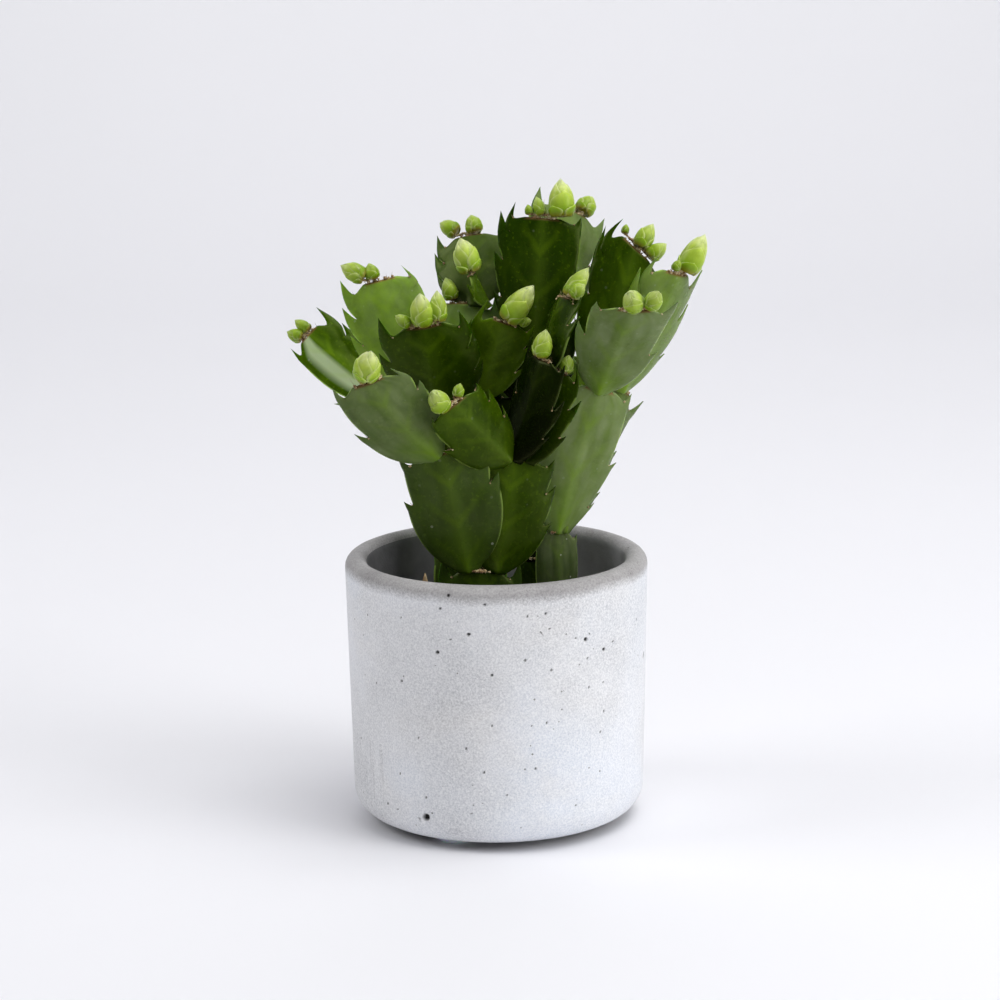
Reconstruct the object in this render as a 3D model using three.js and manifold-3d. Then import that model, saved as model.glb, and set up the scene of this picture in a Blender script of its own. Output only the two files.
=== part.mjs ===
// Potted christmas cactus in bud, in a small round concrete pot on three clear bumper feet.
// Millimetres, +Z up. The origin is on the pot's axis, at the surface that the feet stand on,
// and the side that the buds and the broad segments face is -Y.
import * as THREE from "three";
import { mergeVertices } from "three/addons/utils/BufferGeometryUtils.js";
import Module from "manifold-3d";

const wasm = await Module();
wasm.setup();

// Driving dimensions
const CLEARANCE = 0.3; // between pieces that rest on or in each other
const POT = {
  radius: 40, // outside, at the rim
  height: 69.6,
  taper: 1.3, // less radius at the underside
  wall: 6,
  floor: 9,
  rimRound: 3, // outer edge of the rim
  lipRound: 3, // inner edge of the rim
  baseRound: 7,
  sides: 48,
};
const FOOT = { radius: 5.6, height: 1.4, count: 3, circle: 26.2, firstAngle: 244.4, sides: 20 };
const SOIL = { belowRim: 18, unevenness: 0.7 };
const PAD = { rib: 2.2, margin: 0.7, claw: 0.6, joint: 2.6, jointHalfWidth: 2.2, sink: 1.2 };
const CUSHION = { rise: 1.1, overhang: 1.3, halfDepth: 1.3 }; // woolly areole that the buds sit on

const POT_BASE = FOOT.height + CLEARANCE;
const RIM = POT_BASE + POT.height;
const SOIL_TOP = RIM - SOIL.belowRim;
const ROOT = SOIL_TOP - 4; // the cuttings stand this deep in their holes

// Growth plan. Each flat segment grows from the tip of another, or from the soil, to its own tip:
//   from    the segment that carries it, and at, how far along that one's tip (+ is its right)
//   root    instead of from, where a cutting's first segment starts in the soil
//   tip     the middle of its flat tip
//   faces   the way its front looks
//   width   the greatest width
//   sweep   how far it curves to its right in its own plane, in degrees
//   curl    how far it bends towards its front, in degrees
//   slant   how far its flat tip slopes down to its right, in degrees
//   left, right   the teeth, as [place along the length, reach past its notch, lean inwards]
//   buds    flower buds on the tip, as [place along the tip, lean to the right, lean to the
//           front, length, width], in millimetres and degrees
const CUTTINGS = {
  front_shoot: {
    stub: {
      root: [-5, -13, ROOT], tip: [-4, -14, 70], faces: [0, -1, 0.1], width: 22,
      left: [[0.86, 5]], right: [[0.86, 4]],
    },
    left_pad: {
      from: "stub", at: -3, tip: [-13.5, -18, 102], faces: [-0.1, -1, 0.12], width: 25,
      left: [[0.6, 1], [0.92, 2, -0.9]], right: [[0.67, 2], [0.95, 3]],
    },
    middle_pad: {
      from: "stub", at: 4, tip: [5, -12, 99], faces: [0.15, -1, 0.05], width: 25,
      left: [[0.71, 2], [0.95, 3]], right: [[0.45, 1], [0.72, 2], [0.95, 2]],
    },
    left_leaning: {
      from: "left_pad", at: -1, tip: [-31.5, -32, 123], faces: [-0.25, -0.9, 0.3], width: 21.5,
      sweep: 18, slant: 12,
      left: [[0.52, 2], [0.92, 3.5, 1]], right: [[0.36, 1], [0.66, 2, 0.5], [0.93, 3, 3]],
      buds: [[-0.5, 25, 5, 8.5, 7]],
    },
    low_middle: {
      from: "middle_pad", at: -1, tip: [-10.4, -24, 115.6], faces: [-0.1, -0.85, 0.5], width: 19, slant: 18,
      left: [[0.6, 1], [0.95, 1.5, 2]], right: [[0.38, 1.5], [0.66, 2.5], [0.93, 2]],
      buds: [[-3, -12, 10, 7, 5.6], [2, 40, 0, 3.5, 3]],
    },
    upright: {
      from: "middle_pad", at: 0.5, tip: [12.6, -12, 124.8], faces: [-0.72, -0.68, 0.1], width: 17,
      left: [[0.6, 3], [0.95, 5, 2]], right: [[0.3, 1], [0.58, 3], [0.94, 2]],
      buds: [[-1, 5, 10, 7.3, 5.3]],
    },
    right_leaning: {
      from: "middle_pad", at: 4, tip: [16.9, -8.6, 120.8], faces: [-0.72, -0.7, 0.1], width: 16.4,
      left: [[0.6, 3], [0.95, 3]], right: [[0.36, 1], [0.66, 3], [0.94, 4.5, 3]],
      buds: [[1.8, 6, 12, 4.5, 4]],
    },
    edge_on: {
      from: "right_leaning", at: -3.4, tip: [18.2, -4, 139.6], faces: [-0.96, -0.28, 0.1], width: 20,
      curl: -26,
      left: [[0.4, 2], [0.72, 3], [0.95, 4]], right: [[0.66, 3], [0.95, 2]],
      buds: [[3.2, 5, -12, 9, 5], [6, 30, -16, 4.5, 4.2]],
    },
  },
  right_shoot: {
    stub: {
      root: [17, -1, ROOT], tip: [16, 0, 77], faces: [0.2, -1, 0], width: 12,
      left: [[0.9, 1]], right: [[0.4, 1], [0.9, 1]],
    },
    long_pad: {
      from: "stub", at: 0, tip: [27.5, -5, 115.6], faces: [0.3, -0.93, 0.1], width: 22.5, sweep: 8,
      left: [[0.25, 1], [0.66, 4], [0.95, 2]], right: [[0.2, 1], [0.5, 1], [0.95, 2]],
    },
    rear_pad: {
      from: "stub", at: 1.5, tip: [33.5, 7, 113.4], faces: [0.6, -0.75, 0.1], width: 18, sweep: 14,
      left: [[0.66, 3], [0.95, 2]], right: [[0.3, 1], [0.6, 1], [0.9, 4, -2]],
    },
    right_front: {
      from: "long_pad", at: 0, tip: [35.6, -26, 139.6], faces: [0.15, -0.9, 0.35], width: 21,
      sweep: 8, slant: -24,
      left: [[0.25, 1], [0.58, 3], [0.93, 3]], right: [[0.5, 1], [0.94, 4]],
      buds: [[0.2, -6, 10, 6.8, 5.6], [4.1, 25, -5, 5.8, 4.6]],
    },
    far_right: {
      from: "rear_pad", at: 0, tip: [47.9, 0, 145], faces: [0.72, -0.68, 0.1], width: 25.5,
      sweep: -8, slant: 8,
      left: [[0.5, 2], [0.77, 6, 0.8], [0.95, 4, 2.6]], right: [[0.3, 1], [0.6, 4], [0.88, 5]],
      buds: [[2.9, 9, -8, 11, 6.8], [-1.5, -8, 0, 3, 2.6]],
    },
    right_top: {
      from: "rear_pad", at: -3, tip: [38, 19, 149.1], faces: [-0.1, -0.95, -0.1], width: 22,
      sweep: 18, slant: 26,
      left: [[0.6, 3], [0.84, 4.5, 1.2], [0.94, 5, 4]], right: [[0.5, 3], [0.95, 3.5, -0.4]],
      buds: [[0.5, -14, 0, 7.5, 5.2], [4.2, 8, 0, 6, 4.6], [-4.9, -34, 0, 2.6, 2.2]],
    },
  },
  centre_shoot: {
    stub: {
      root: [10, 5, ROOT], tip: [10.6, 4, 69], faces: [0, -1, 0], width: 9,
      left: [[0.9, 1]], right: [[0.9, 1]],
    },
    low_pad: {
      from: "stub", at: 0, tip: [0, 6, 90], faces: [0, -1, 0], width: 20,
      left: [[0.6, 2], [0.95, 3]], right: [[0.6, 2], [0.95, 3]],
    },
    second_pad: {
      from: "low_pad", at: 0, tip: [-10, 5, 110], faces: [0, -1, 0], width: 20,
      left: [[0.6, 2], [0.95, 3]], right: [[0.6, 2], [0.95, 3]],
    },
    middle_left: {
      from: "second_pad", at: -4.5, tip: [-18, -4, 132.5], faces: [-0.1, -1, 0.2], width: 26,
      left: [[0.64, 2.5], [0.9, 5]], right: [[0.42, 2.5], [0.66, 4.5, 1.5], [0.91, 4, 2]],
      buds: [[0, 5, 0, 9, 6.3], [-3.7, -38, 10, 4.8, 3.3], [4, 8, -20, 8, 5]],
    },
    middle_right: {
      from: "second_pad", at: 5, tip: [3, 2, 132.4], faces: [0.1, -1, 0.1], width: 18,
      left: [[0.4, 2], [0.7, 4, 1], [0.92, 5, 2]], right: [[0.45, 2], [0.75, 2], [0.95, 2]],
      buds: [[0.5, 16, 4, 11.6, 7], [4, 50, 20, 3.2, 2.8]],
    },
    rear_middle: {
      from: "second_pad", at: 0, tip: [-8.2, 16, 135.4], faces: [0, -1, 0.3], width: 23,
      left: [[0.6, 3], [0.94, 3]], right: [[0.6, 3], [0.94, 6, 1]],
      buds: [[-2.8, -18, 20, 6, 4.4]],
    },
    rear_left_top: {
      from: "rear_middle", at: 3, tip: [-6, 26, 152], faces: [-0.2, -1, 0.4], width: 20, sweep: -6,
      left: [[0.4, 3], [0.68, 3.5], [0.9, 3.5]], right: [[0.6, 3], [0.95, 1]],
      buds: [[-3.4, -50, 0, 5.8, 4.8], [1.6, -8, 0, 5.4, 4.8]],
    },
    small_edge_on: {
      from: "rear_middle", at: 7, tip: [-5.5, 16, 143.2], faces: [0.95, -0.2, 0.3], width: 11,
      left: [[0.6, 2]], right: [[0.6, 2]],
      buds: [[0, 0, 8, 9.4, 7]],
    },
    left_pad: {
      from: "low_pad", at: -3, tip: [-24, 5, 112], faces: [-0.2, -0.9, 0.5], width: 20,
      left: [[0.6, 2], [0.95, 3]], right: [[0.6, 2], [0.95, 3]],
    },
    upper_left: {
      from: "left_pad", at: 3, tip: [-29.6, 8, 143], faces: [-0.1, -1, 0.2], width: 22.5, sweep: 5,
      left: [[0.5, 3], [0.72, 3.5, -0.4], [0.92, 4, -0.6]],
      right: [[0.6, 3], [0.86, 4, 2.5], [0.96, 3, 3.5]],
      buds: [[-3.8, -50, 0, 7, 5.2], [-1.4, -5, 0, 4.3, 4.1]],
    },
    far_left: {
      from: "left_pad", at: -3, tip: [-49, 14, 127.8], faces: [-0.3, -0.7, 0.6], width: 16,
      left: [[0.36, 2.5, -1.6], [0.92, 3, 1.2]], right: [[0.5, 3], [0.75, 3], [0.93, 5]],
      buds: [[0.9, -4, 0, 4.8, 3.4], [-1.9, -18, 0, 4.4, 3.8]],
    },
    rising_pad: {
      from: "low_pad", at: 3, tip: [9, 9, 110], faces: [0, -1, 0], width: 20,
      left: [[0.6, 2], [0.95, 3]], right: [[0.6, 2], [0.95, 3]],
    },
    crown_pad: {
      from: "rising_pad", at: -2, tip: [10.6, 7.6, 124], faces: [0, -1, 0], width: 18,
      left: [[0.6, 1], [0.95, 2]], right: [[0.6, 1], [0.95, 2]],
    },
    crown: {
      from: "crown_pad", at: 0, tip: [13.3, 13, 158.2], faces: [-0.05, -1, 0.1], width: 23.5,
      left: [[0.4, 1.5], [0.67, 2], [0.87, 5, -0.6], [0.98, 3.8, 2.6]], right: [[0.6, 2], [0.96, 2]],
      buds: [[5, -6, 0, 10, 7.3], [-0.4, -20, 0, 5, 3.4], [-3.5, -15, 0, 2.6, 2.4]],
    },
    upper_pad: {
      from: "rising_pad", at: 0, tip: [14.6, 9.4, 133], faces: [0, -1, 0], width: 20,
      left: [[0.6, 2], [0.95, 3]], right: [[0.4, 1], [0.95, 2, 2]],
    },
    rear_crown: {
      from: "upper_pad", at: 0.2, tip: [21.2, 28, 158.2], faces: [0.3, -1, 0.1], width: 23, sweep: 10,
      left: [[0.6, 3], [0.95, 4]], right: [[0.6, 3], [0.95, 4]],
      buds: [[3, 14, 0, 6.2, 5.6]],
    },
  },
  back_shoot: {
    stub: {
      root: [-7, 14, ROOT], tip: [-7, 15, 70], faces: [0, 1, 0.1], width: 20,
      left: [[0.86, 3]], right: [[0.86, 3]],
    },
    left_pad: {
      from: "stub", at: 3, tip: [-12, 20, 98], faces: [-0.1, 1, 0.1], width: 22,
      left: [[0.6, 2], [0.95, 3]], right: [[0.4, 1], [0.7, 2], [0.95, 3]],
    },
    right_pad: {
      from: "stub", at: -4, tip: [6, 21, 96], faces: [0.2, 1, 0.1], width: 21,
      left: [[0.65, 2], [0.95, 3]], right: [[0.6, 2], [0.95, 3]],
    },
    back_left: {
      from: "left_pad", at: 1, tip: [-29, 30, 120], faces: [-0.5, 0.8, 0.3], width: 19, sweep: -15,
      left: [[0.45, 2], [0.72, 3], [0.94, 4]], right: [[0.6, 3], [0.94, 4]],
      buds: [[0, 5, 0, 7, 5], [3, 35, 0, 4, 3.6]],
    },
    back_middle: {
      from: "left_pad", at: -3, tip: [-6, 34, 123], faces: [0, 0.9, 0.4], width: 21,
      left: [[0.4, 2], [0.7, 3], [0.94, 4]], right: [[0.65, 3], [0.94, 4]],
      buds: [[-1, -5, 0, 8, 6], [3.5, 30, 0, 4, 3.6]],
    },
    back_right: {
      from: "right_pad", at: -2, tip: [26, 32, 116], faces: [0.4, 0.85, 0.3], width: 20, sweep: 15,
      left: [[0.6, 3], [0.94, 4]], right: [[0.45, 2], [0.7, 3], [0.94, 4]],
      buds: [[0, 0, 0, 7.5, 5.5]],
    },
    back_top: {
      from: "right_pad", at: 2, tip: [8, 28, 125], faces: [0.1, 1, 0.1], width: 19,
      left: [[0.6, 3], [0.94, 4]], right: [[0.45, 2], [0.75, 3], [0.94, 4]],
      buds: [[1, 8, 0, 6.5, 4.8]],
    },
  },
};

const MATERIALS = {
  concrete: new THREE.MeshStandardMaterial({ color: 0xcfcfd2, roughness: 0.95, metalness: 0 }),
  silicone: new THREE.MeshStandardMaterial({ color: 0xe8eaec, roughness: 0.2, metalness: 0 }),
  soil: new THREE.MeshStandardMaterial({ color: 0x2c2119, roughness: 1, metalness: 0 }),
  segment: new THREE.MeshStandardMaterial({ color: 0x4f7a1e, roughness: 0.35, metalness: 0 }),
  bud: new THREE.MeshStandardMaterial({ color: 0xb9cf5a, roughness: 0.4, metalness: 0 }),
};

const part = new THREE.Group();

function addNode(name, geometry, material) {
  const mesh = new THREE.Mesh(geometry, material);
  mesh.name = name;
  part.add(mesh);
  return mesh;
}

// Solids are joined and cut on merged positions alone.
function toSolid(geometry) {
  const bare = geometry.clone();
  bare.deleteAttribute("normal");
  bare.deleteAttribute("uv");
  const merged = mergeVertices(bare, 1e-3);
  return new wasm.Manifold(
    new wasm.Mesh({
      numProp: 3,
      vertProperties: new Float32Array(merged.attributes.position.array),
      triVerts: new Uint32Array(merged.index.array),
    }),
  );
}

function toGeometry(solid) {
  const mesh = solid.getMesh();
  return new THREE.BufferGeometry()
    .setAttribute("position", new THREE.BufferAttribute(mesh.vertProperties, 3))
    .setIndex(new THREE.BufferAttribute(mesh.triVerts, 1));
}

const vector = (list) => new THREE.Vector3(...list);
const radians = THREE.MathUtils.degToRad;

// A lathe profile is drawn as [radius, height] and turned about +Z.
function turned(profile, sides) {
  const points = profile.map(([radius, height]) => new THREE.Vector2(radius, height));
  return new THREE.LatheGeometry(points, sides).rotateX(Math.PI / 2);
}

// Points of a rounded edge: a quarter circle from one angle to another, in degrees.
function rounded(radius, height, edge, from, to, steps) {
  return Array.from({ length: steps + 1 }, (_, i) => {
    const angle = radians(from + ((to - from) * i) / steps);
    return [radius + edge * Math.cos(angle), height + edge * Math.sin(angle)];
  });
}

// Pot: cast concrete, nearly straight-sided, with a soft rim and a rounded base
function potRadius(height) {
  return POT.radius - POT.taper * (1 - (height - POT_BASE) / POT.height);
}

const inside = potRadius(POT_BASE) - POT.wall;
addNode(
  "pot",
  turned(
    [
      [0, POT_BASE],
      ...rounded(potRadius(POT_BASE) - POT.baseRound, POT_BASE + POT.baseRound, POT.baseRound, -90, 0, 5),
      ...rounded(POT.radius - POT.rimRound, RIM - POT.rimRound, POT.rimRound, 0, 90, 4),
      ...rounded(POT.radius - POT.wall + POT.lipRound, RIM - POT.lipRound, POT.lipRound, 90, 180, 4),
      [inside, POT_BASE + POT.floor + POT.baseRound],
      [inside - POT.baseRound, POT_BASE + POT.floor],
      [0, POT_BASE + POT.floor],
    ],
    POT.sides,
  ),
  MATERIALS.concrete,
);

// Feet: clear silicone bumpers stuck under the pot
for (let i = 0; i < FOOT.count; i += 1) {
  const angle = radians(FOOT.firstAngle + (i * 360) / FOOT.count);
  const foot = addNode(
    `bumper_foot_${i + 1}`,
    turned(
      [
        [0, 0],
        [FOOT.radius - 1.6, 0],
        [FOOT.radius - 0.5, FOOT.height * 0.35],
        [FOOT.radius, FOOT.height],
        [0, FOOT.height],
      ],
      FOOT.sides,
    ),
    MATERIALS.silicone,
  );
  foot.position.set(FOOT.circle * Math.cos(angle), FOOT.circle * Math.sin(angle), 0);
}

// A segment's half width, as a share of the greatest, from its joint (0) to its tip (1)
function halfWidthShare(s) {
  const widest = 0.55;
  if (s < widest) return (1 - (1 - s / widest) ** 2) ** 0.625;
  return 1 - 0.18 * ((s - widest) / (1 - widest)) ** 1.5;
}

// One margin, from the joint to the tip: a convex scallop up to each tooth, the tooth's point,
// and its notch. Each point is { along, out, point }, and point marks the teeth's sharp ends.
function marginPoints(teeth, halfWidth, length) {
  const scallopSteps = 4;
  const points = [];
  let start = 0;
  let dip = 0;
  for (const [place, reach, lean = 0] of teeth) {
    const end = place - 1.2 / length;
    for (let i = 0; i < scallopSteps; i += 1) {
      const u = i / (scallopSteps - 1);
      const s = start + (end - start) * u;
      const edge = halfWidthShare(s) * (1 - dip * (1 - u) ** 1.6) * halfWidth;
      const first = start === 0 && i === 0;
      if (i > 0 || start === 0) points.push({ along: s * length, out: first ? PAD.jointHalfWidth : edge });
    }
    const flare = (place > 0.85 ? 0.3 : 0.8) - lean;
    const out = halfWidthShare(place) * halfWidth;
    points.push({ along: place * length + reach, out: out + flare, point: true });
    dip = Math.min(0.1 + 0.03 * reach, 0.24);
    points.push({ along: place * length, out: out * (1 - dip) });
    start = place;
  }
  const shoulder = Math.min(points.at(-1).out * 0.6, halfWidth * 0.4);
  points.push({ along: length, out: shoulder });
  return points;
}

// Where a segment grows and how it bends: the midrib curve and the frame along it
function placeSegment(plan, grown) {
  const tip = vector(plan.tip);
  let base;
  if (plan.from) {
    const carrier = grown[plan.from];
    base = carrier.tip
      .clone()
      .addScaledVector(carrier.end.side, plan.at)
      .addScaledVector(carrier.end.along, -PAD.sink);
  } else {
    base = vector(plan.root);
  }
  const chord = tip.clone().sub(base);
  const length = chord.length();
  const along = chord.clone().normalize();
  const front = vector(plan.faces);
  front.addScaledVector(along, -front.dot(along)).normalize();
  const side = along.clone().cross(front);
  const bulge = (degrees) => (length / 2) * Math.tan(radians(degrees || 0) / 2);
  const control = base
    .clone()
    .add(tip)
    .multiplyScalar(0.5)
    .addScaledVector(side, -bulge(plan.sweep))
    .addScaledVector(front, -bulge(plan.curl));
  const midrib = new THREE.QuadraticBezierCurve3(base, control, tip);
  const frameAt = (s) => {
    const t = midrib.getTangent(s);
    const n = front.clone().addScaledVector(t, -front.dot(t)).normalize();
    return { place: midrib.getPoint(s), along: t, front: n, side: t.clone().cross(n) };
  };
  const end = frameAt(1);
  const slant = radians(plan.slant || 0);
  const flatTip = {
    place: end.place,
    front: end.front,
    side: end.side.clone().multiplyScalar(Math.cos(slant)).addScaledVector(end.along, -Math.sin(slant)),
    along: end.along.clone().multiplyScalar(Math.cos(slant)).addScaledVector(end.side, Math.sin(slant)),
  };
  return { plan, tip, length, frameAt, slope: Math.tan(slant), end: flatTip };
}

// The two halves of a segment lean back from the midrib by a few degrees.
const FOLD = radians(10);

// A point of the segment: along and out in its own plane, then up or down by half its thickness
function segmentPoint(segment, along, out, lift) {
  const s = Math.min(Math.max(along / segment.length, 0), 1);
  const { place, along: t, front, side } = segment.frameAt(s);
  const share = Math.abs(out) / (segment.plan.width / 2);
  return place
    .clone()
    .addScaledVector(t, along - s * segment.length - out * segment.slope * s ** 3)
    .addScaledVector(side, out * Math.cos(FOLD * share))
    .addScaledVector(front, lift - Math.abs(out) * share * Math.sin(FOLD));
}

// The solid of one segment: a front and a back skin between the midrib and each margin, each split
// into the same triangles, and a wall round the outline
function segmentSolid(segment) {
  const { plan, length } = segment;
  const ribSteps = 8;
  const corners = [];
  const faces = [];
  const addPair = (along, out, thickness) => {
    corners.push(segmentPoint(segment, along, out, thickness / 2));
    corners.push(segmentPoint(segment, along, out, -thickness / 2));
    return { along, front: corners.length - 2, back: corners.length - 1 };
  };
  const rib = Array.from({ length: ribSteps + 1 }, (_, i) => {
    const s = i / ribSteps;
    const thickness = s === 0 ? PAD.joint : PAD.rib * (1 - 0.25 * s ** 4);
    return addPair(s * length, 0, thickness);
  });
  // hand is 1 on the right half and -1 on the left, where every triangle turns the other way
  const buildHalf = (teeth, hand) => {
    const points = marginPoints(teeth, plan.width / 2, length);
    const edge = points.map(({ along, out, point }, i) => {
      const thickness = i === 0 ? PAD.joint : point ? PAD.claw : PAD.margin;
      return { ...addPair(along, hand * out, thickness), point };
    });
    const skin = (a, b, c) => {
      const [front, back] = hand > 0 ? [[a, b, c], [a, c, b]] : [[a, c, b], [a, b, c]];
      faces.push(front.map((corner) => corner.front), back.map((corner) => corner.back));
    };
    const wall = (a, b) => {
      const [p, q] = hand > 0 ? [a, b] : [b, a];
      faces.push([p.front, p.back, q.back], [p.front, q.back, q.front]);
    };
    const body = edge.filter((corner) => !corner.point);
    let i = 0;
    let j = 0;
    while (i < rib.length - 1 || j < body.length - 1) {
      const ribNext = i < rib.length - 1 ? rib[i + 1].along : Infinity;
      const bodyNext = j < body.length - 1 ? body[j + 1].along : Infinity;
      if (bodyNext <= ribNext) {
        skin(rib[i], body[j], body[j + 1]);
        j += 1;
      } else {
        skin(rib[i], body[j], rib[i + 1]);
        i += 1;
      }
    }
    edge.forEach((corner, k) => {
      if (corner.point) skin(edge[k - 1], corner, edge[k + 1]);
      if (k > 0) wall(edge[k - 1], corner);
    });
    wall(rib[0], edge[0]);
    wall(edge.at(-1), rib.at(-1));
  };
  buildHalf(plan.right, 1);
  buildHalf(plan.left, -1);
  const geometry = new THREE.BufferGeometry()
    .setAttribute(
      "position",
      new THREE.Float32BufferAttribute(corners.flatMap((corner) => corner.toArray()), 3),
    )
    .setIndex(faces.flat());
  return toSolid(geometry);
}

// Flower buds: pointed ovals with four faint petal ridges, joined by the cushion that they sit on
const BUD_PROFILE = [[0, 0], [0.6, 0], [0.92, 0.14], [1, 0.36], [0.82, 0.64], [0.42, 0.86], [0, 1]];

function budCluster(segment) {
  const { place, along, front, side } = segment.end;
  const seat = new THREE.Matrix4().makeBasis(side, front.clone().negate(), along).setPosition(place);
  const { buds } = segment.plan;
  const places = buds.map(([at]) => at);
  const middle = (Math.min(...places) + Math.max(...places)) / 2;
  const halfLength = (Math.max(...places) - Math.min(...places)) / 2 + CUSHION.overhang;
  const cushion = new THREE.CylinderGeometry(0.85, 1, CUSHION.rise, 10)
    .rotateX(Math.PI / 2)
    .scale(halfLength, CUSHION.halfDepth, 1)
    .translate(middle, 0, CLEARANCE + CUSHION.rise / 2)
    .applyMatrix4(seat);
  let cluster = toSolid(cushion);
  for (const [at, lean, forward, length, width] of buds) {
    const tilt = radians(Math.hypot(lean, forward));
    const bud = turned(BUD_PROFILE, 8);
    const corners = bud.attributes.position;
    for (let i = 0; i < corners.count; i += 1) {
      const angle = Math.atan2(corners.getY(i), corners.getX(i));
      const ridge = 1 + 0.05 * Math.cos(4 * angle);
      corners.setXY(i, corners.getX(i) * ridge, corners.getY(i) * ridge);
    }
    bud
      .scale(width / 2, width / 2, length)
      .rotateX(radians(forward))
      .rotateY(radians(lean))
      .translate(at, 0, CLEARANCE + Math.max(CUSHION.rise * 0.4, 0.1 + 0.33 * width * Math.sin(tilt)))
      .applyMatrix4(seat);
    cluster = cluster.add(toSolid(bud));
  }
  return cluster;
}

// Soil: peat that fills the pot, with a hole for each cutting
const soilFloor = POT_BASE + POT.floor + CLEARANCE;
const soilRadius = inside - CLEARANCE;
const soilGeometry = turned(
  [
    [0, soilFloor],
    [soilRadius - POT.baseRound, soilFloor],
    [soilRadius, soilFloor + POT.baseRound],
    [soilRadius, SOIL_TOP - 0.6],
    [soilRadius * 0.8, SOIL_TOP - 0.2],
    [soilRadius * 0.5, SOIL_TOP],
    [soilRadius * 0.2, SOIL_TOP + 0.2],
    [0, SOIL_TOP + 0.2],
  ],
  32,
);
const soilCorners = soilGeometry.attributes.position;
for (let i = 0; i < soilCorners.count; i += 1) {
  const [x, y, z] = [soilCorners.getX(i), soilCorners.getY(i), soilCorners.getZ(i)];
  if (z < SOIL_TOP - 0.4) continue;
  soilCorners.setZ(i, z + SOIL.unevenness * Math.sin(x * 0.31) * Math.cos(y * 0.37));
}
let soil = toSolid(soilGeometry);

// Shoots: every segment of a cutting has grown together, so a cutting is one solid.
for (const [cuttingName, plans] of Object.entries(CUTTINGS)) {
  const grown = {};
  let shoot = null;
  for (const [name, plan] of Object.entries(plans)) {
    const segment = placeSegment(plan, grown);
    grown[name] = segment;
    const solid = segmentSolid(segment);
    shoot = shoot ? shoot.add(solid) : solid;
    if (plan.buds) {
      const side = cuttingName.replace("_shoot", "");
      addNode(`buds_${side}_${name}`, toGeometry(budCluster(segment)), MATERIALS.bud);
    }
  }
  addNode(cuttingName, toGeometry(shoot), MATERIALS.segment);

  const { width, root, faces, tip } = plans.stub;
  const depth = SOIL_TOP - ROOT + 3;
  const turn = Math.atan2(faces[1], faces[0]) + Math.PI / 2;
  const rise = (SOIL_TOP - ROOT) / (tip[2] - root[2]);
  const hole = new THREE.CylinderGeometry(1, 1, depth, 20)
    .rotateX(Math.PI / 2)
    .scale((halfWidthShare(rise * 1.15) * width) / 2 + 0.9, PAD.joint / 2 + 1.6, 1)
    .rotateZ(turn)
    .translate(
      root[0] + ((tip[0] - root[0]) * rise) / 2,
      root[1] + ((tip[1] - root[1]) * rise) / 2,
      ROOT - CLEARANCE + depth / 2,
    );
  soil = soil.subtract(toSolid(hole));
}
addNode("soil", toGeometry(soil), MATERIALS.soil);

export default part;
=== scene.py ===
# Potted christmas cactus in bud, in a concrete pot on clear bumper feet.
# Everything is in metres, with +Z up and the pot's axis at the origin.
import math
import random

import bmesh
import bpy
from mathutils import Matrix, Vector


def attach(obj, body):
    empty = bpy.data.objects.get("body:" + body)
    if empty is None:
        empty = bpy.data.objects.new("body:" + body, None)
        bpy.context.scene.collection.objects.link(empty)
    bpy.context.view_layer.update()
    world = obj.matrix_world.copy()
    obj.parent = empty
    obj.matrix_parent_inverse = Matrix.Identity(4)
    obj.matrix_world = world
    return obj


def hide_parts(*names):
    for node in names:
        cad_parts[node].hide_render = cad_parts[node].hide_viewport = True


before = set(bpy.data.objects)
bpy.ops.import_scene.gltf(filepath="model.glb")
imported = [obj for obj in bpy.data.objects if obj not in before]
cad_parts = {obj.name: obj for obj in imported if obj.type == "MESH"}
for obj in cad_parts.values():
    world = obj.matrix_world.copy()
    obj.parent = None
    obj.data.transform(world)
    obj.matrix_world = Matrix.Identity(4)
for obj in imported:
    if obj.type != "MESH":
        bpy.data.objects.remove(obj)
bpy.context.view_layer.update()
MM = 0.001

# Pot
# Cast concrete, 80 mm wide, nearly straight-sided, with a soft rim and a rounded base.
# The mould's air left small round holes in it, and its rim was rubbed smooth and has gone darker.
POT_RADIUS, POT_TAPER, POT_WALL = 40 * MM, 1.3 * MM, 6 * MM
POT_FOOT_HEIGHT, POT_HEIGHT, POT_FLOOR = 1.7 * MM, 69.6 * MM, 9 * MM
RIM_ROUND, LIP_ROUND, BASE_ROUND = 3 * MM, 3 * MM, 7 * MM
RIM_HEIGHT, BASE_TOP = POT_FOOT_HEIGHT + POT_HEIGHT, POT_FOOT_HEIGHT + BASE_ROUND
FLOOR_TOP = POT_FOOT_HEIGHT + POT_FLOOR


def arc(radius, height, edge, start, end, steps):
    """Points of a rounded edge, from one angle to another, as (radius, height)."""
    angles = [math.radians(start + (end - start) * i / steps) for i in range(steps + 1)]
    return [(radius + edge * math.cos(a), height + edge * math.sin(a)) for a in angles]


def line(start, end, steps):
    """Evenly spaced points of a straight wall, without its two ends."""
    return [
        (start[0] + (end[0] - start[0]) * i / steps, start[1] + (end[1] - start[1]) * i / steps)
        for i in range(1, steps)
    ]


def turn(bm, profile, steps):
    """Spins a profile of (radius, height) once round the Z axis and closes it."""
    ring = [bm.verts.new((r, 0, z)) for r, z in profile]
    edges = [bm.edges.new(pair) for pair in zip(ring, ring[1:])]
    bmesh.ops.spin(
        bm, geom=ring + edges, axis=(0, 0, 1), cent=(0, 0, 0), angle=math.tau, steps=steps, use_merge=True
    )
    bmesh.ops.remove_doubles(bm, verts=bm.verts, dist=1e-6)
    bmesh.ops.recalc_face_normals(bm, faces=bm.faces)


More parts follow.
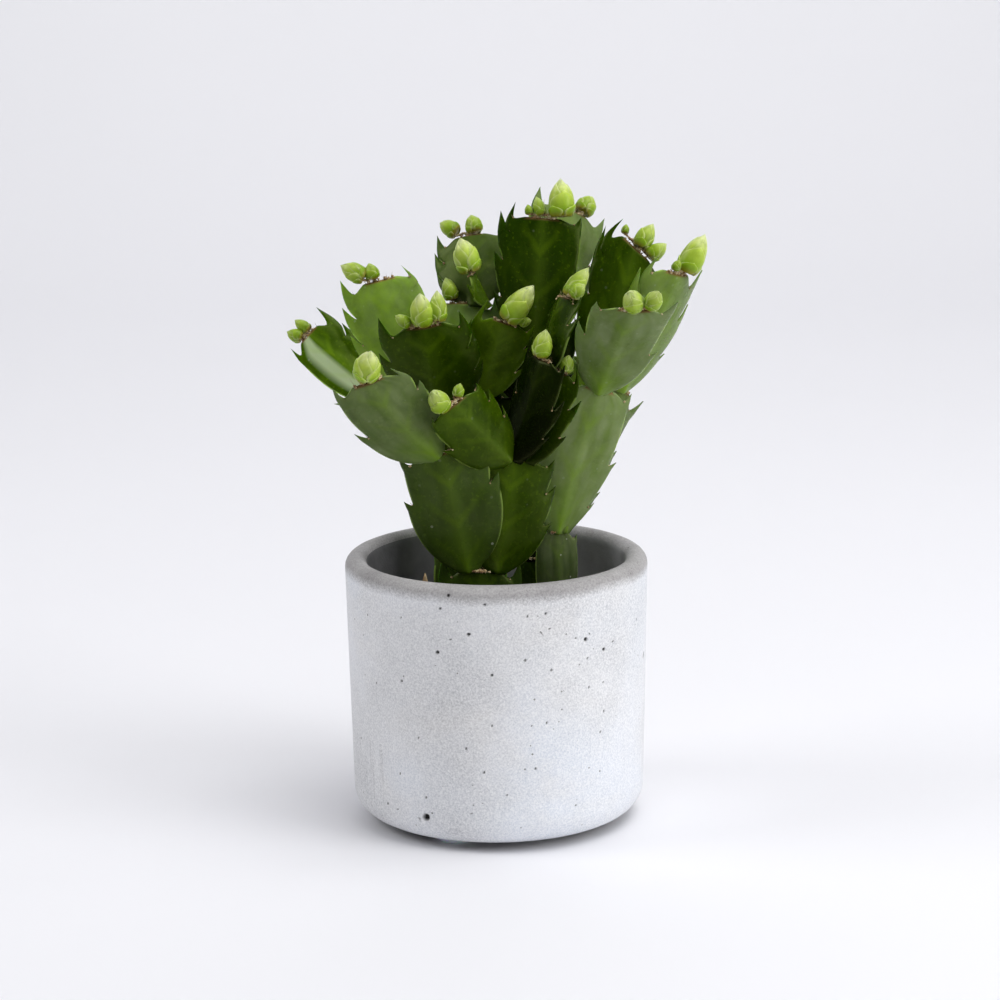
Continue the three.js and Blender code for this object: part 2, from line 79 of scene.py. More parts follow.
def make_object(name, bm, finishes):
    """Makes a smooth-shaded object of the scene from a finished bmesh."""
    mesh = bpy.data.meshes.new(name)
    bm.to_mesh(mesh)
    bm.free()
    for polygon in mesh.polygons:
        polygon.use_smooth = True
    for finish in finishes:
        mesh.materials.append(finish.material)
    made = bpy.data.objects.new(name, mesh)
    bpy.context.scene.collection.objects.link(made)
    return made


def place_piece(name, bm, finishes, nodes):
    """Makes a piece that rides on the one body, in place of the nodes that are named."""
    piece = make_object(name, bm, finishes)
    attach(piece, "root")
    if nodes:
        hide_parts(*nodes)
    return piece


pot = bmesh.new()
pot_base_radius = POT_RADIUS - POT_TAPER
pot_inside = pot_base_radius - POT_WALL
base_corner = arc(pot_base_radius - BASE_ROUND, BASE_TOP, BASE_ROUND, -90, 0, 8)
rim_corner = arc(POT_RADIUS - RIM_ROUND, RIM_HEIGHT - RIM_ROUND, RIM_ROUND, 0, 90, 6)
lip_corner = arc(POT_RADIUS - POT_WALL + LIP_ROUND, RIM_HEIGHT - LIP_ROUND, LIP_ROUND, 90, 180, 6)
inner_foot = (pot_inside, FLOOR_TOP + BASE_ROUND)
turn(
    pot,
    [(0, POT_FOOT_HEIGHT), ((pot_base_radius - BASE_ROUND) / 2, POT_FOOT_HEIGHT)]
    + base_corner
    + line(base_corner[-1], rim_corner[0], 40)
    + rim_corner
    + lip_corner
    + line(lip_corner[-1], inner_foot, 10)
    + [inner_foot, (pot_inside - BASE_ROUND, FLOOR_TOP), (0, FLOOR_TOP)],
    160,
)

# The camera stands where the photo's did, so what the photo shows of the pot's wall can be put there.
CAMERA_AIM, CAMERA_DISTANCE = Vector((1.2, 0, 85.3)) * MM, 0.8
CAMERA_RISE, CAMERA_ROLL = math.radians(12.3), math.radians(0.7)
FRAME_PIXELS, FOCAL_PIXELS = 1000, 3035
back = Vector((0, -math.cos(CAMERA_RISE), math.sin(CAMERA_RISE)))
camera_turn = back.to_track_quat("Z", "Y").to_matrix().to_4x4() @ Matrix.Rotation(-CAMERA_ROLL, 4, "Z")
camera_place = CAMERA_AIM + back * CAMERA_DISTANCE


def seen_on_wall(right, down):
    """Degrees round from the front and height of the wall's point that a pixel of the photo shows."""
    middle = FRAME_PIXELS / 2
    ray = camera_turn @ Vector(((right - middle) / FOCAL_PIXELS, (middle - down) / FOCAL_PIXELS, -1))
    flat_ray, flat_place = ray.xy, camera_place.xy
    half, rest = flat_ray.dot(flat_place), flat_place.length_squared - (POT_RADIUS - POT_TAPER / 2) ** 2
    reach = (-half - math.sqrt(max(0, half**2 - flat_ray.length_squared * rest))) / flat_ray.length_squared
    spot = camera_place + ray * reach
    return math.degrees(math.atan2(spot.x, -spot.y)), spot.z / MM


# Air holes that the photo shows, as (pixels from its left, pixels from its top, radius in millimetres)
SEEN_HOLES = [
    (449, 595, 0.42), (485, 604, 0.3), (441, 608, 0.28), (469, 634, 0.42), (438, 652, 0.46),
    (451, 639, 0.24), (402, 617, 0.22), (527, 616, 0.26), (536, 619, 0.26), (545, 613, 0.3),
    (549, 628, 0.22), (540, 631, 0.22), (585, 639, 0.52), (589, 633, 0.32), (575, 638, 0.24),
    (603, 649, 0.44), (612, 641, 0.26), (635, 619, 0.26), (587, 658, 0.24), (525, 660, 0.32),
    (551, 670, 0.3), (492, 675, 0.3), (402, 681, 0.32), (436, 665, 0.24), (603, 682, 0.26),
    (589, 687, 0.24), (604, 711, 0.26), (601, 732, 0.26), (547, 723, 0.26), (532, 726, 0.22),
    (492, 726, 0.22), (418, 738, 0.26), (360, 738, 0.26), (466, 749, 0.28), (484, 773, 0.3),
    (536, 769, 0.28), (399, 774, 0.26), (425, 798, 0.28), (386, 804, 0.3), (396, 810, 0.26),
    (425, 818, 0.95), (418, 819, 0.3), (431, 814, 0.24), (471, 814, 0.24), (507, 796, 0.24),
    (577, 806, 0.26), (643, 655, 0.8), (645, 660, 0.45),
]
AIR_HOLES = [(*seen_on_wall(right, down), radius) for right, down, radius in SEEN_HOLES]
# The sides and back have holes of the same kind, which the photo doesn't show.
HOLE_COUNT, HIDDEN_RADII = 94, (0.22, 0.28, 0.34, 0.45, 0.6)
hidden_holes = random.Random(7)
while len(AIR_HOLES) < HOLE_COUNT:
    round_angle, height = hidden_holes.uniform(88, 272), hidden_holes.uniform(8, 64)
    AIR_HOLES.append((round_angle, height, hidden_holes.choice(HIDDEN_RADII)))

# A dent's width and depth are shares of its hole's radius. The wall is cut finer round each hole.
DENT_WIDTH, DENT_DEPTH, DENT_SHADE, FINE_MARGIN, LARGE_HOLE = 1.15, 1.1, 1.6, 1.3 * MM, 0.7
# Each vertex keeps how strongly painted shade darkens it in its dent, strongest at the dent's middle.
hole_shade = pot.verts.layers.float.new("air_hole")
for round_angle, height, radius in AIR_HOLES:
    turned, height, reach = math.radians(round_angle), height * MM, radius * MM
    outside = POT_RADIUS - POT_TAPER * (1 - (height - POT_FOOT_HEIGHT) / POT_HEIGHT)
    if height < BASE_TOP:
        outside -= BASE_ROUND * (1 - math.sqrt(max(0, 1 - ((BASE_TOP - height) / BASE_ROUND) ** 2)))
    middle = Vector((math.sin(turned) * outside, -math.cos(turned) * outside, height))
    near = [f for f in pot.faces if (f.calc_center_median() - middle).length < reach + FINE_MARGIN]
    edges = list({e for f in near for e in f.edges})
    bmesh.ops.subdivide_edges(pot, edges=edges, cuts=3 if radius > LARGE_HOLE else 4, use_grid_fill=True)
    for vert in pot.verts:
        away = (vert.co - middle).length / reach
        if away < DENT_WIDTH:
            sunk = 1 - (away / DENT_WIDTH) ** 2
            vert[hole_shade] = max(vert[hole_shade], min(1, DENT_SHADE * sunk))
            vert.co -= Vector((vert.co.x, vert.co.y, 0)).normalized() * reach * DENT_DEPTH * sunk


class Finish:
    """A procedural material, built up node by node on a piece's own Object coordinates."""

    def __init__(self, name):
        self.material = bpy.data.materials.new(name)
        self.material.use_nodes = True
        self.tree = self.material.node_tree
        self.shader = self.tree.nodes["Principled BSDF"]
        self.place = self.add("TexCoord").outputs["Object"]

    def fill(self, node, sockets):
        """Gives a node's sockets their numbers and colours, or joins them to other sockets."""
        for key, value in sockets.items():
            socket = node.inputs[key]
            if isinstance(value, bpy.types.NodeSocket):
                self.tree.links.new(value, socket)
            elif isinstance(value, tuple) and len(socket.default_value) == 4:
                socket.default_value = (*value, 1)
            else:
                socket.default_value = value

    def add(self, kind, sockets=None, **settings):
        """A new node, with its settings made before its sockets are filled."""
        node = self.tree.nodes.new("ShaderNode" + kind)
        for name, value in settings.items():
            setattr(node, name, value)
        self.fill(node, sockets or {})
        return node

    def look(self, sockets):
        """Fills the shader's own sockets."""
        self.fill(self.shader, sockets)

    def ramp(self, value, *stops):
        """A colour ramp on a value. Each stop is (place, colour or grey)."""
        node = self.add("ValToRGB", {"Fac": value})
        for i, (place, colour) in enumerate(stops):
            stop = node.color_ramp.elements[i] if i < 2 else node.color_ramp.elements.new(place)
            stop.position = place
            stop.color = (*colour, 1) if isinstance(colour, tuple) else (colour, colour, colour, 1)
        return node.outputs["Color"]

    def noise(self, scale, detail=3, roughness=0.55, stretch=None, place=None):
        """Noise on the piece's coordinates or another place. A stretch scales X, Y and Z apart."""
        place = self.place if place is None else place
        if stretch:
            place = self.add("Mapping", {"Scale": stretch, "Vector": place}).outputs["Vector"]
        sockets = {"Scale": scale, "Detail": detail, "Roughness": roughness, "Vector": place}
        return self.add("TexNoise", sockets).outputs["Fac"]

    def blend(self, factor, first, second, mode="MIX"):
        """Mixes two colours by a factor. A colour Mix node has them at its sockets 6, 7 and 0."""
        sockets = {0: factor, 6: first, 7: second}
        return self.add("Mix", sockets, data_type="RGBA", blend_type=mode).outputs[2]

    def calculate(self, operation, *values, clamp=False):
        return self.add("Math", dict(enumerate(values)), operation=operation, use_clamp=clamp).outputs[0]

    def product(self, value, *others, clamp=False):
        """Multiplies values in turn. A clamp keeps each product between 0 and 1."""
        for other in others:
            value = self.calculate("MULTIPLY", value, other, clamp=clamp)
        return value

    def bump(self, height, strength, distance, under=None):
        """Raises the surface by a height, on top of an earlier bump if there is one."""
        sockets = {"Strength": strength, "Distance": distance, "Height": height}
        if under is not None:
            sockets["Normal"] = under
        normal = self.add("Bump", sockets).outputs["Normal"]
        self.look({"Normal": normal})
        return normal


concrete = Finish("cast_concrete")
apart = concrete.add("SeparateXYZ", {0: concrete.place}).outputs
colour = concrete.ramp(
    concrete.noise(26, 4), (0.32, (0.64, 0.645, 0.66)), (0.5, (0.73, 0.735, 0.75)), (0.68, (0.79, 0.80, 0.83))
)
blue = concrete.ramp(concrete.noise(18, 2), (0.46, 0.0), (0.66, 1.0))
colour = concrete.blend(blue, colour, concrete.blend(0.5, colour, (0.74, 0.79, 0.87)))
warm = concrete.ramp(concrete.noise(34, 3, stretch=(1, 1, 1.6)), (0.55, 0.0), (0.8, 0.5))
colour = concrete.blend(warm, colour, (0.74, 0.725, 0.71))
# Brushed lines, low down at the left of the front only
LINES_LEFT_OF, LINES_BEFORE, LINES_BELOW = -30 * MM, -10 * MM, 26 * MM
on_left = concrete.calculate("LESS_THAN", apart["X"], LINES_LEFT_OF)
in_front = concrete.calculate("LESS_THAN", apart["Y"], LINES_BEFORE)
low_down = concrete.calculate("LESS_THAN", apart["Z"], LINES_BELOW)
brushed = concrete.ramp(concrete.noise(1000, 2, stretch=(1, 1, 0.035)), (0.36, 0.26), (0.44, 0.0))
brushed = concrete.product(on_left, in_front, low_down, brushed)
colour = concrete.blend(brushed, colour, (0.44, 0.44, 0.45))
# The worn rim is darker and smoother, down to an uneven line.
WEAR_DEPTH, WEAR_UNEVENNESS = 4.2 * MM, 3 * MM
wear_height = concrete.calculate("SUBTRACT", apart["Z"], RIM_HEIGHT - WEAR_DEPTH)
uneven = concrete.product(concrete.noise(60, 3), WEAR_UNEVENNESS)
wear_height = concrete.product(concrete.calculate("ADD", wear_height, uneven), 250)
rim_wear = concrete.ramp(wear_height, (0.28, 0.0), (0.95, 1.0))
rim_shades = (0.3, (0.315, 0.305, 0.305)), (0.7, (0.435, 0.425, 0.425))
colour = concrete.blend(rim_wear, colour, concrete.ramp(concrete.noise(70, 4), *rim_shades))
grain = concrete.noise(2000, 2, 0.75)
grain_amount = concrete.blend(rim_wear, (0.9, 0.9, 0.9), (0.4, 0.4, 0.4))
grain_shades = concrete.ramp(grain, (0.3, 0.22), (0.5, 0.5), (0.7, 0.78))
colour = concrete.blend(grain_amount, colour, grain_shades, "OVERLAY")
# The wall inside is painted dark, as painted shade inside the pot, and painted lighter grey towards the
# right, as painted light falling there.
flat_place = concrete.add("VectorMath", {0: concrete.place, 1: (1, 1, 0)}, operation="MULTIPLY").outputs[0]
from_axis = concrete.add("VectorMath", {0: flat_place}, operation="LENGTH").outputs["Value"]
inner_side = concrete.calculate("LESS_THAN", from_axis, POT_RADIUS - POT_WALL + 0.35 * MM)
inner_spots = concrete.noise(90, 4)
inner_painted_shade = concrete.ramp(inner_spots, (0.3, (0.13, 0.13, 0.135)), (0.7, (0.22, 0.22, 0.225)))
inner_painted_light = concrete.ramp(inner_spots, (0.3, (0.28, 0.28, 0.28)), (0.7, (0.38, 0.38, 0.38)))
rightwards = concrete.calculate("MULTIPLY_ADD", apart["X"], 1 / (50 * MM), 0.4, clamp=True)
colour = concrete.blend(inner_side, colour, concrete.blend(rightwards, inner_painted_shade, inner_painted_light))
# The smallest pores are in the material, and the air holes are dents. Both are painted dark inside, as
# painted shade in their hollows.
pores = concrete.add("TexVoronoi", {"Scale": 420, "Vector": concrete.place}).outputs
pore = concrete.calculate("SUBTRACT", concrete.product(pores["Color"], 0.32), 0.14)
pore = concrete.calculate("SUBTRACT", pore, pores["Distance"])
pore = concrete.product(pore, 18, concrete.calculate("SUBTRACT", 1, inner_side), clamp=True)
colour = concrete.blend(concrete.product(pore, 0.75), colour, (0.12, 0.115, 0.11))
hole = concrete.add("Attribute", attribute_name="air_hole").outputs["Fac"]
hole = concrete.calculate("POWER", hole, 0.8, clamp=True)
rough = concrete.blend(rim_wear, (0.92, 0.92, 0.92), (0.62, 0.62, 0.62))
concrete.look({
    "Base Color": concrete.blend(hole, colour, (0.012, 0.011, 0.010)),
    "Roughness": rough,
    "Specular IOR Level": 0.3,
})
relief = concrete.calculate("SUBTRACT", concrete.product(grain, 0.5), pore)
relief = concrete.bump(relief, 0.5, 0.25 * MM)
concrete.bump(concrete.noise(160, 4), 0.25, 0.5 * MM, relief)
place_piece("cast_pot", pot, [concrete], ["pot"])

# Bumper feet
# Clear domes of soft silicone, 11 mm wide and 1.4 mm thick, three of them in a ring. They are moulded,
# and stuck under the pot by their flat side so that it doesn't scratch the table.
FOOT_COUNT, FOOT_CIRCLE, FIRST_FOOT_ANGLE = 3, 26.2 * MM, 244.4
FOOT_RADIUS, FOOT_HEIGHT, FOOT_TREAD, FOOT_BEND = 5.6 * MM, 1.4 * MM, 4.2 * MM, 0.6 * MM

silicone = Finish("clear_silicone")
silicone.look({
    "Base Color": silicone.ramp(silicone.noise(300), (0.3, (0.88, 0.89, 0.92)), (0.7, (0.94, 0.95, 0.97))),
    "Roughness": 0.2,
    "IOR": 1.41,
    "Transmission Weight": 0.1,
    "Subsurface Weight": 0.6,
    "Subsurface Scale": 3 * MM,
})
silicone.bump(silicone.noise(900), 0.1, 0.05 * MM)

for i in range(FOOT_COUNT):
    foot = bmesh.new()
    turn(
        foot,
        [(0, 0), (FOOT_TREAD, 0)]
        + arc(FOOT_TREAD + FOOT_BEND / 2, FOOT_BEND, FOOT_BEND, -80, 0, 5)
        + [(FOOT_RADIUS - 0.2 * MM, FOOT_HEIGHT * 0.8), (FOOT_RADIUS, FOOT_HEIGHT), (0, FOOT_HEIGHT)],
        40,
    )
    angle = math.radians(FIRST_FOOT_ANGLE + 360 / FOOT_COUNT * i)
    centre = (FOOT_CIRCLE * math.cos(angle), FOOT_CIRCLE * math.sin(angle), 0)
    bmesh.ops.translate(foot, verts=foot.verts, vec=centre)
    place_piece(f"silicone_foot_{i + 1}", foot, [silicone], [f"bumper_foot_{i + 1}"])

# Soil
# Dark, moist peat with crumbs and a few grains of white perlite. It is filled in to 18 mm under the
# rim and pressed lightly round the cuttings.
SOIL_TOP, SOIL_RADIUS, SOIL_FLOOR = RIM_HEIGHT - 18 * MM, pot_inside - 0.3 * MM, FLOOR_TOP + 0.3 * MM
SOIL_RINGS, CRUMB_COUNT, PERLITE_COUNT = 22, 620, 26

peat = Finish("moist_peat")
peat_shades = (0.3, (0.008, 0.006, 0.005)), (0.55, (0.028, 0.019, 0.012)), (0.75, (0.062, 0.042, 0.026))
peat.look({"Base Color": peat.ramp(peat.noise(260, 6, 0.7), *peat_shades), "Roughness": 0.95})
peat.bump(peat.noise(900, 6, 0.7), 0.9, 0.6 * MM)

perlite = Finish("white_perlite")
perlite_shades = (0.3, (0.42, 0.38, 0.33)), (0.6, (0.78, 0.76, 0.72))
perlite.look({"Base Color": perlite.ramp(perlite.noise(700, 4), *perlite_shades), "Roughness": 0.9})
perlite.bump(perlite.noise(1500, 3), 0.6, 0.3 * MM)


def ground(x, y):
    """Height of the soil's surface, with low swells and finer ripples across them."""
    swell = 0.7 * MM * math.sin(x * 310) * math.cos(y * 370)
    ripple = 0.4 * MM * math.sin(x * 930 + 2) * math.sin(y * 810)
    return SOIL_TOP + 0.1 * MM + swell + ripple


crumb_draw = random.Random(21)
soil = bmesh.new()
turn(
    soil,
    [(0, SOIL_FLOOR), (SOIL_RADIUS - BASE_ROUND, SOIL_FLOOR), (SOIL_RADIUS, SOIL_FLOOR + BASE_ROUND)]
    + [(SOIL_RADIUS, SOIL_TOP - 2 * MM)]
    + [(SOIL_RADIUS * (1 - i / SOIL_RINGS), SOIL_TOP) for i in range(SOIL_RINGS + 1)],
    72,
)
for vert in soil.verts:
    if vert.co.z > SOIL_TOP - 1 * MM:
        edge = min(1, (SOIL_RADIUS - Vector((vert.co.x, vert.co.y)).length) / (3 * MM))
        rough_height = crumb_draw.uniform(-0.35, 0.45) * MM * edge
        vert.co.z = ground(vert.co.x, vert.co.y) + rough_height - (1 - edge) * 0.6 * MM


def scatter_crumbs(bm, count, smallest, largest):
    """Lumps pressed into the soil at seeded places, each a squashed and dented ball."""
    for _ in range(count):
        around = crumb_draw.uniform(0, math.tau)
        out = math.sqrt(crumb_draw.uniform(0, 1)) * (SOIL_RADIUS - 1.4 * MM)
        x, y = math.cos(around) * out, math.sin(around) * out
        size = crumb_draw.uniform(smallest, largest) * MM
        turning = Matrix.Rotation(crumb_draw.uniform(0, 6), 4, "X")
        turning = turning @ Matrix.Rotation(crumb_draw.uniform(0, 6), 4, "Z")
        squash = Matrix.Diagonal((1, crumb_draw.uniform(0.6, 1), crumb_draw.uniform(0.5, 0.9), 1))
        spot = Matrix.Translation((x, y, ground(x, y) + size * 0.2)) @ turning @ squash
        for vert in bmesh.ops.create_icosphere(bm, subdivisions=1, radius=size, matrix=spot)["verts"]:
            vert.co += Vector([crumb_draw.uniform(-0.22, 0.22) * size for _ in range(3)])


scatter_crumbs(soil, CRUMB_COUNT, 0.35, 1.3)
place_piece("peat_soil", soil, [peat], ["soil"])
grains = bmesh.new()
scatter_crumbs(grains, PERLITE_COUNT, 0.4, 1.0)
place_piece("perlite_grains", grains, [perlite], ())

# Flat segments of the four cuttings
# Each is a short flattened stem, most of them 16 to 26 mm wide, waxy, with a thick rib down its middle
# and a toothed edge. It grows from the woolly tip of the one before, as one living piece.

# The places, angles, widths, teeth and buds are those of the solids, in millimetres and degrees. Teeth
# are (place, reach, lean inwards) and buds are (place, lean to the right, lean to the front, length,
# width). A tone is (yellow, grey bloom and painted sheen, painted glow of the foot), and a shade is
# painted light and shade: how light the whole segment is drawn, with its lower part painted darker below 1.
ROOT, PLAIN_TEETH = SOIL_TOP / MM - 4, [(0.6, 2), (0.95, 3)]
CUTTINGS = {
    "front": {
        "stub": dict(
            root=(-5, -13, ROOT), tip=(-4, -14, 70), faces=(0, -1, 0.1), width=22, left=[(0.86, 5)],
            right=[(0.86, 4)], tone=(0.05, 0.1, 0.25), shade=0.8,
        ),
        "left_pad": dict(
            grows="stub", at=-3, tip=(-13.5, -18, 102), faces=(-0.1, -1, 0.12), width=25,
            left=[(0.6, 1), (0.92, 2, -0.9)], right=[(0.67, 2), (0.95, 3)], tone=(0.05, 0.2, 0.35),
            shade=0.85,
        ),
        "middle_pad": dict(
            grows="stub", at=4, tip=(5, -12, 99), faces=(0.15, -1, 0.05), width=25,
            left=[(0.71, 2), (0.95, 3)], right=[(0.45, 1), (0.72, 2), (0.95, 2)],
            tone=(0.09, 0.0, 0.05), shade=0.78,
        ),
        "left_leaning": dict(
            grows="left_pad", at=-1, tip=(-31.5, -32, 123), faces=(-0.25, -0.9, 0.3), width=21.5,
            sweep=18, slant=12, left=[(0.52, 2), (0.92, 3.5, 1)],
            right=[(0.36, 1), (0.66, 2, 0.5), (0.93, 3, 3)], buds=[(-0.5, 25, 5, 8.5, 7)],
            tone=(0.14, 0.75, 0.5), shade=0.95,
        ),
        "low_middle": dict(
            grows="middle_pad", at=-1, tip=(-10.4, -24, 115.6), faces=(-0.1, -0.85, 0.5), width=19,
            slant=18, left=[(0.6, 1), (0.95, 1.5, 2)], right=[(0.38, 1.5), (0.66, 2.5), (0.93, 2)],
            buds=[(-3, -12, 10, 7, 5.6), (2, 40, 0, 3.5, 3)], tone=(0.15, 0.0, 0.3), shade=0.8,
        ),
        "upright": dict(
            grows="middle_pad", at=0.5, tip=(12.6, -12, 124.8), faces=(-0.72, -0.68, 0.1), width=17,
            left=[(0.6, 3), (0.95, 5, 2)], right=[(0.3, 1), (0.58, 3), (0.94, 2)],
            buds=[(-1, 5, 10, 7.3, 5.3)], tone=(0, 0, 0.2), shade=0.17,
        ),
        "right_leaning": dict(
            grows="middle_pad", at=4, tip=(16.9, -8.6, 120.8), faces=(-0.72, -0.7, 0.1), width=16.4,
            left=[(0.6, 3), (0.95, 3)], right=[(0.36, 1), (0.66, 3), (0.94, 4.5, 3)],
            buds=[(1.8, 6, 12, 4.5, 4)], tone=(0.1, 0.0, 0.1), shade=0.68,
        ),
        "edge_on": dict(
            grows="right_leaning", at=-3.4, tip=(18.2, -4, 139.6), faces=(-0.96, -0.28, 0.1), width=20,
            curl=-26, left=[(0.4, 2), (0.72, 3), (0.95, 4)], right=[(0.66, 3), (0.95, 2)],
            buds=[(3.2, 5, -12, 9, 5), (6, 30, -16, 4.5, 4.2)], tone=(0.04, 0.0, 0.2), shade=0.8,
        ),
    },
    "right": {
        "stub": dict(
            root=(17, -1, ROOT), tip=(16, 0, 77), faces=(0.2, -1, 0), width=12, left=[(0.9, 1)],
            right=[(0.4, 1), (0.9, 1)], tone=(0.0, 0.8, 0.0), shade=0.8,
        ),
        "long_pad": dict(
            grows="stub", at=0, tip=(27.5, -5, 115.6), faces=(0.3, -0.93, 0.1), width=22.5, sweep=8,
            left=[(0.25, 1), (0.66, 4), (0.95, 2)], right=[(0.2, 1), (0.5, 1), (0.95, 2)],
            tone=(0.3, 0.9, 0.3), shade=1.2,
        ),
        "rear_pad": dict(
            grows="stub", at=1.5, tip=(33.5, 7, 113.4), faces=(0.6, -0.75, 0.1), width=18, sweep=14,
            left=[(0.66, 3), (0.95, 2)], right=[(0.3, 1), (0.6, 1), (0.9, 4, -2)], tone=(0.2, 0.6, 0.2),
            shade=1.0,
        ),
        "right_front": dict(
            grows="long_pad", at=0, tip=(35.6, -26, 139.6), faces=(0.15, -0.9, 0.35), width=21, sweep=8,
            slant=-24, left=[(0.25, 1), (0.58, 3), (0.93, 3)], right=[(0.5, 1), (0.94, 4)],
            buds=[(0.2, -6, 10, 6.8, 5.6), (4.1, 25, -5, 5.8, 4.6)], tone=(0.27, 0.9, 0.45), shade=1.12,
        ),
        "far_right": dict(
            grows="rear_pad", at=0, tip=(47.9, 0, 145), faces=(0.72, -0.68, 0.1), width=25.5, sweep=-8,
            slant=8, left=[(0.5, 2), (0.77, 6, 0.8), (0.95, 4, 2.6)],
            right=[(0.3, 1), (0.6, 4), (0.88, 5)], buds=[(2.9, 9, -8, 11, 6.8), (-1.5, -8, 0, 3, 2.6)],
            tone=(0.55, 0.45, 0.2), shade=1.15,
        ),
        "right_top": dict(
            grows="rear_pad", at=-3, tip=(38, 19, 149.1), faces=(-0.1, -0.95, -0.1), width=22, sweep=18,
            slant=26, left=[(0.6, 3), (0.84, 4.5, 1.2), (0.94, 5, 4)],
            right=[(0.5, 3), (0.95, 3.5, -0.4)],
            buds=[(0.5, -14, 0, 7.5, 5.2), (4.2, 8, 0, 6, 4.6), (-4.9, -34, 0, 2.6, 2.2)],
            tone=(0.07, 0.0, 0.0), shade=0.9,
        ),
    },
    "centre": {
        "stub": dict(
            root=(10, 5, ROOT), tip=(10.6, 4, 69), faces=(0, -1, 0), width=9, left=[(0.9, 1)],
            right=[(0.9, 1)], tone=(0.05, 0.1, 0.2), shade=0.8,
        ),
        "low_pad": dict(
            grows="stub", at=0, tip=(0, 6, 90), faces=(0, -1, 0), width=20, left=PLAIN_TEETH,
            right=PLAIN_TEETH, tone=(0, 0, 0), shade=0.4,
        ),
        "second_pad": dict(
            grows="low_pad", at=0, tip=(-10, 5, 110), faces=(0, -1, 0), width=20, left=PLAIN_TEETH,
            right=PLAIN_TEETH, tone=(0, 0, 0), shade=0.35,
        ),
        "middle_left": dict(
            grows="second_pad", at=-4.5, tip=(-18, -4, 132.5), faces=(-0.1, -1, 0.2), width=26,
            left=[(0.64, 2.5), (0.9, 5)], right=[(0.42, 2.5), (0.66, 4.5, 1.5), (0.91, 4, 2)],
            buds=[(0, 5, 0, 9, 6.3), (-3.7, -38, 10, 4.8, 3.3), (4, 8, -20, 8, 5)],
            tone=(0.11, 0.0, 0.0), shade=0.88,
        ),
        "middle_right": dict(
            grows="second_pad", at=5, tip=(3, 2, 132.4), faces=(0.1, -1, 0.1), width=18,
            left=[(0.4, 2), (0.7, 4, 1), (0.92, 5, 2)], right=[(0.45, 2), (0.75, 2), (0.95, 2)],
            buds=[(0.5, 16, 4, 11.6, 7), (4, 50, 20, 3.2, 2.8)], tone=(0.34, 0.0, 0.0), shade=0.9,
        ),
        "rear_middle": dict(
            grows="second_pad", at=0, tip=(-8.2, 16, 135.4), faces=(0, -1, 0.3), width=23,
            left=[(0.6, 3), (0.94, 3)], right=[(0.6, 3), (0.94, 6, 1)], buds=[(-2.8, -18, 20, 6, 4.4)],
            tone=(0.4, 0.6, 0.1), shade=1.6,
        ),
        "rear_left_top": dict(
            grows="rear_middle", at=3, tip=(-6, 26, 152), faces=(-0.2, -1, 0.4), width=20, sweep=-6,
            left=[(0.4, 3), (0.68, 3.5), (0.9, 3.5)], right=[(0.6, 3), (0.95, 1)],
            buds=[(-3.4, -50, 0, 5.8, 4.8), (1.6, -8, 0, 5.4, 4.8)], tone=(0.15, 0.4, 0.0), shade=0.9,
        ),
        "small_edge_on": dict(
            grows="rear_middle", at=7, tip=(-5.5, 16, 143.2), faces=(0.95, -0.2, 0.3), width=11,
            left=[(0.6, 2)], right=[(0.6, 2)], buds=[(0, 0, 8, 9.4, 7)], tone=(0.2, 0.0, 0.4),
            shade=0.9,
        ),
        "left_pad": dict(
            grows="low_pad", at=-3, tip=(-24, 5, 112), faces=(-0.2, -0.9, 0.5), width=20,
            left=PLAIN_TEETH, right=PLAIN_TEETH, tone=(0.05, 0.0, 0.2), shade=0.7,
        ),
        "upper_left": dict(
            grows="left_pad", at=3, tip=(-29.6, 8, 143), faces=(-0.1, -1, 0.2), width=22.5, sweep=5,
            left=[(0.5, 3), (0.72, 3.5, -0.4), (0.92, 4, -0.6)],
            right=[(0.6, 3), (0.86, 4, 2.5), (0.96, 3, 3.5)],
            buds=[(-3.8, -50, 0, 7, 5.2), (-1.4, -5, 0, 4.3, 4.1)], tone=(0.65, 0.35, 0.1), shade=1.75,
        ),
        "far_left": dict(
            grows="left_pad", at=-3, tip=(-49, 14, 127.8), faces=(-0.3, -0.7, 0.6), width=16,
            left=[(0.36, 2.5, -1.6), (0.92, 3, 1.2)], right=[(0.5, 3), (0.75, 3), (0.93, 5)],
            buds=[(0.9, -4, 0, 4.8, 3.4), (-1.9, -18, 0, 4.4, 3.8)], tone=(0.12, 1.0, 0.1), shade=1.7,
        ),
        "rising_pad": dict(
            grows="low_pad", at=3, tip=(9, 9, 110), faces=(0, -1, 0), width=20, left=PLAIN_TEETH,
            right=PLAIN_TEETH, tone=(0, 0, 0), shade=0.35,
        ),
        "crown_pad": dict(
            grows="rising_pad", at=-2, tip=(10.6, 7.6, 124), faces=(0, -1, 0), width=18,
            left=[(0.6, 1), (0.95, 2)], right=[(0.6, 1), (0.95, 2)], tone=(0, 0, 0), shade=0.4,
        ),
        "crown": dict(
            grows="crown_pad", at=0, tip=(13.3, 13, 158.2), faces=(-0.05, -1, 0.1), width=23.5,
            left=[(0.4, 1.5), (0.67, 2), (0.87, 5, -0.6), (0.98, 3.8, 2.6)],
            right=[(0.6, 2), (0.96, 2)],
            buds=[(5, -6, 0, 10, 7.3), (-0.4, -20, 0, 5, 3.4), (-3.5, -15, 0, 2.6, 2.4)],
            tone=(0.01, 0.0, 0.0), shade=0.8,
        ),
        "upper_pad": dict(
            grows="rising_pad", at=0, tip=(14.6, 9.4, 133), faces=(0, -1, 0), width=20,
            left=PLAIN_TEETH, right=[(0.4, 1), (0.95, 2, 2)], tone=(0, 0, 0), shade=0.4,
        ),
        "rear_crown": dict(
            grows="upper_pad", at=0.2, tip=(21.2, 28, 158.2), faces=(0.3, -1, 0.1), width=23, sweep=10,
            left=[(0.6, 3), (0.95, 4)], right=[(0.6, 3), (0.95, 4)], buds=[(3, 14, 0, 6.2, 5.6)],
            tone=(0.3, 0.7, 0.2), shade=1.1,
        ),
    },
    "back": {
        "stub": dict(
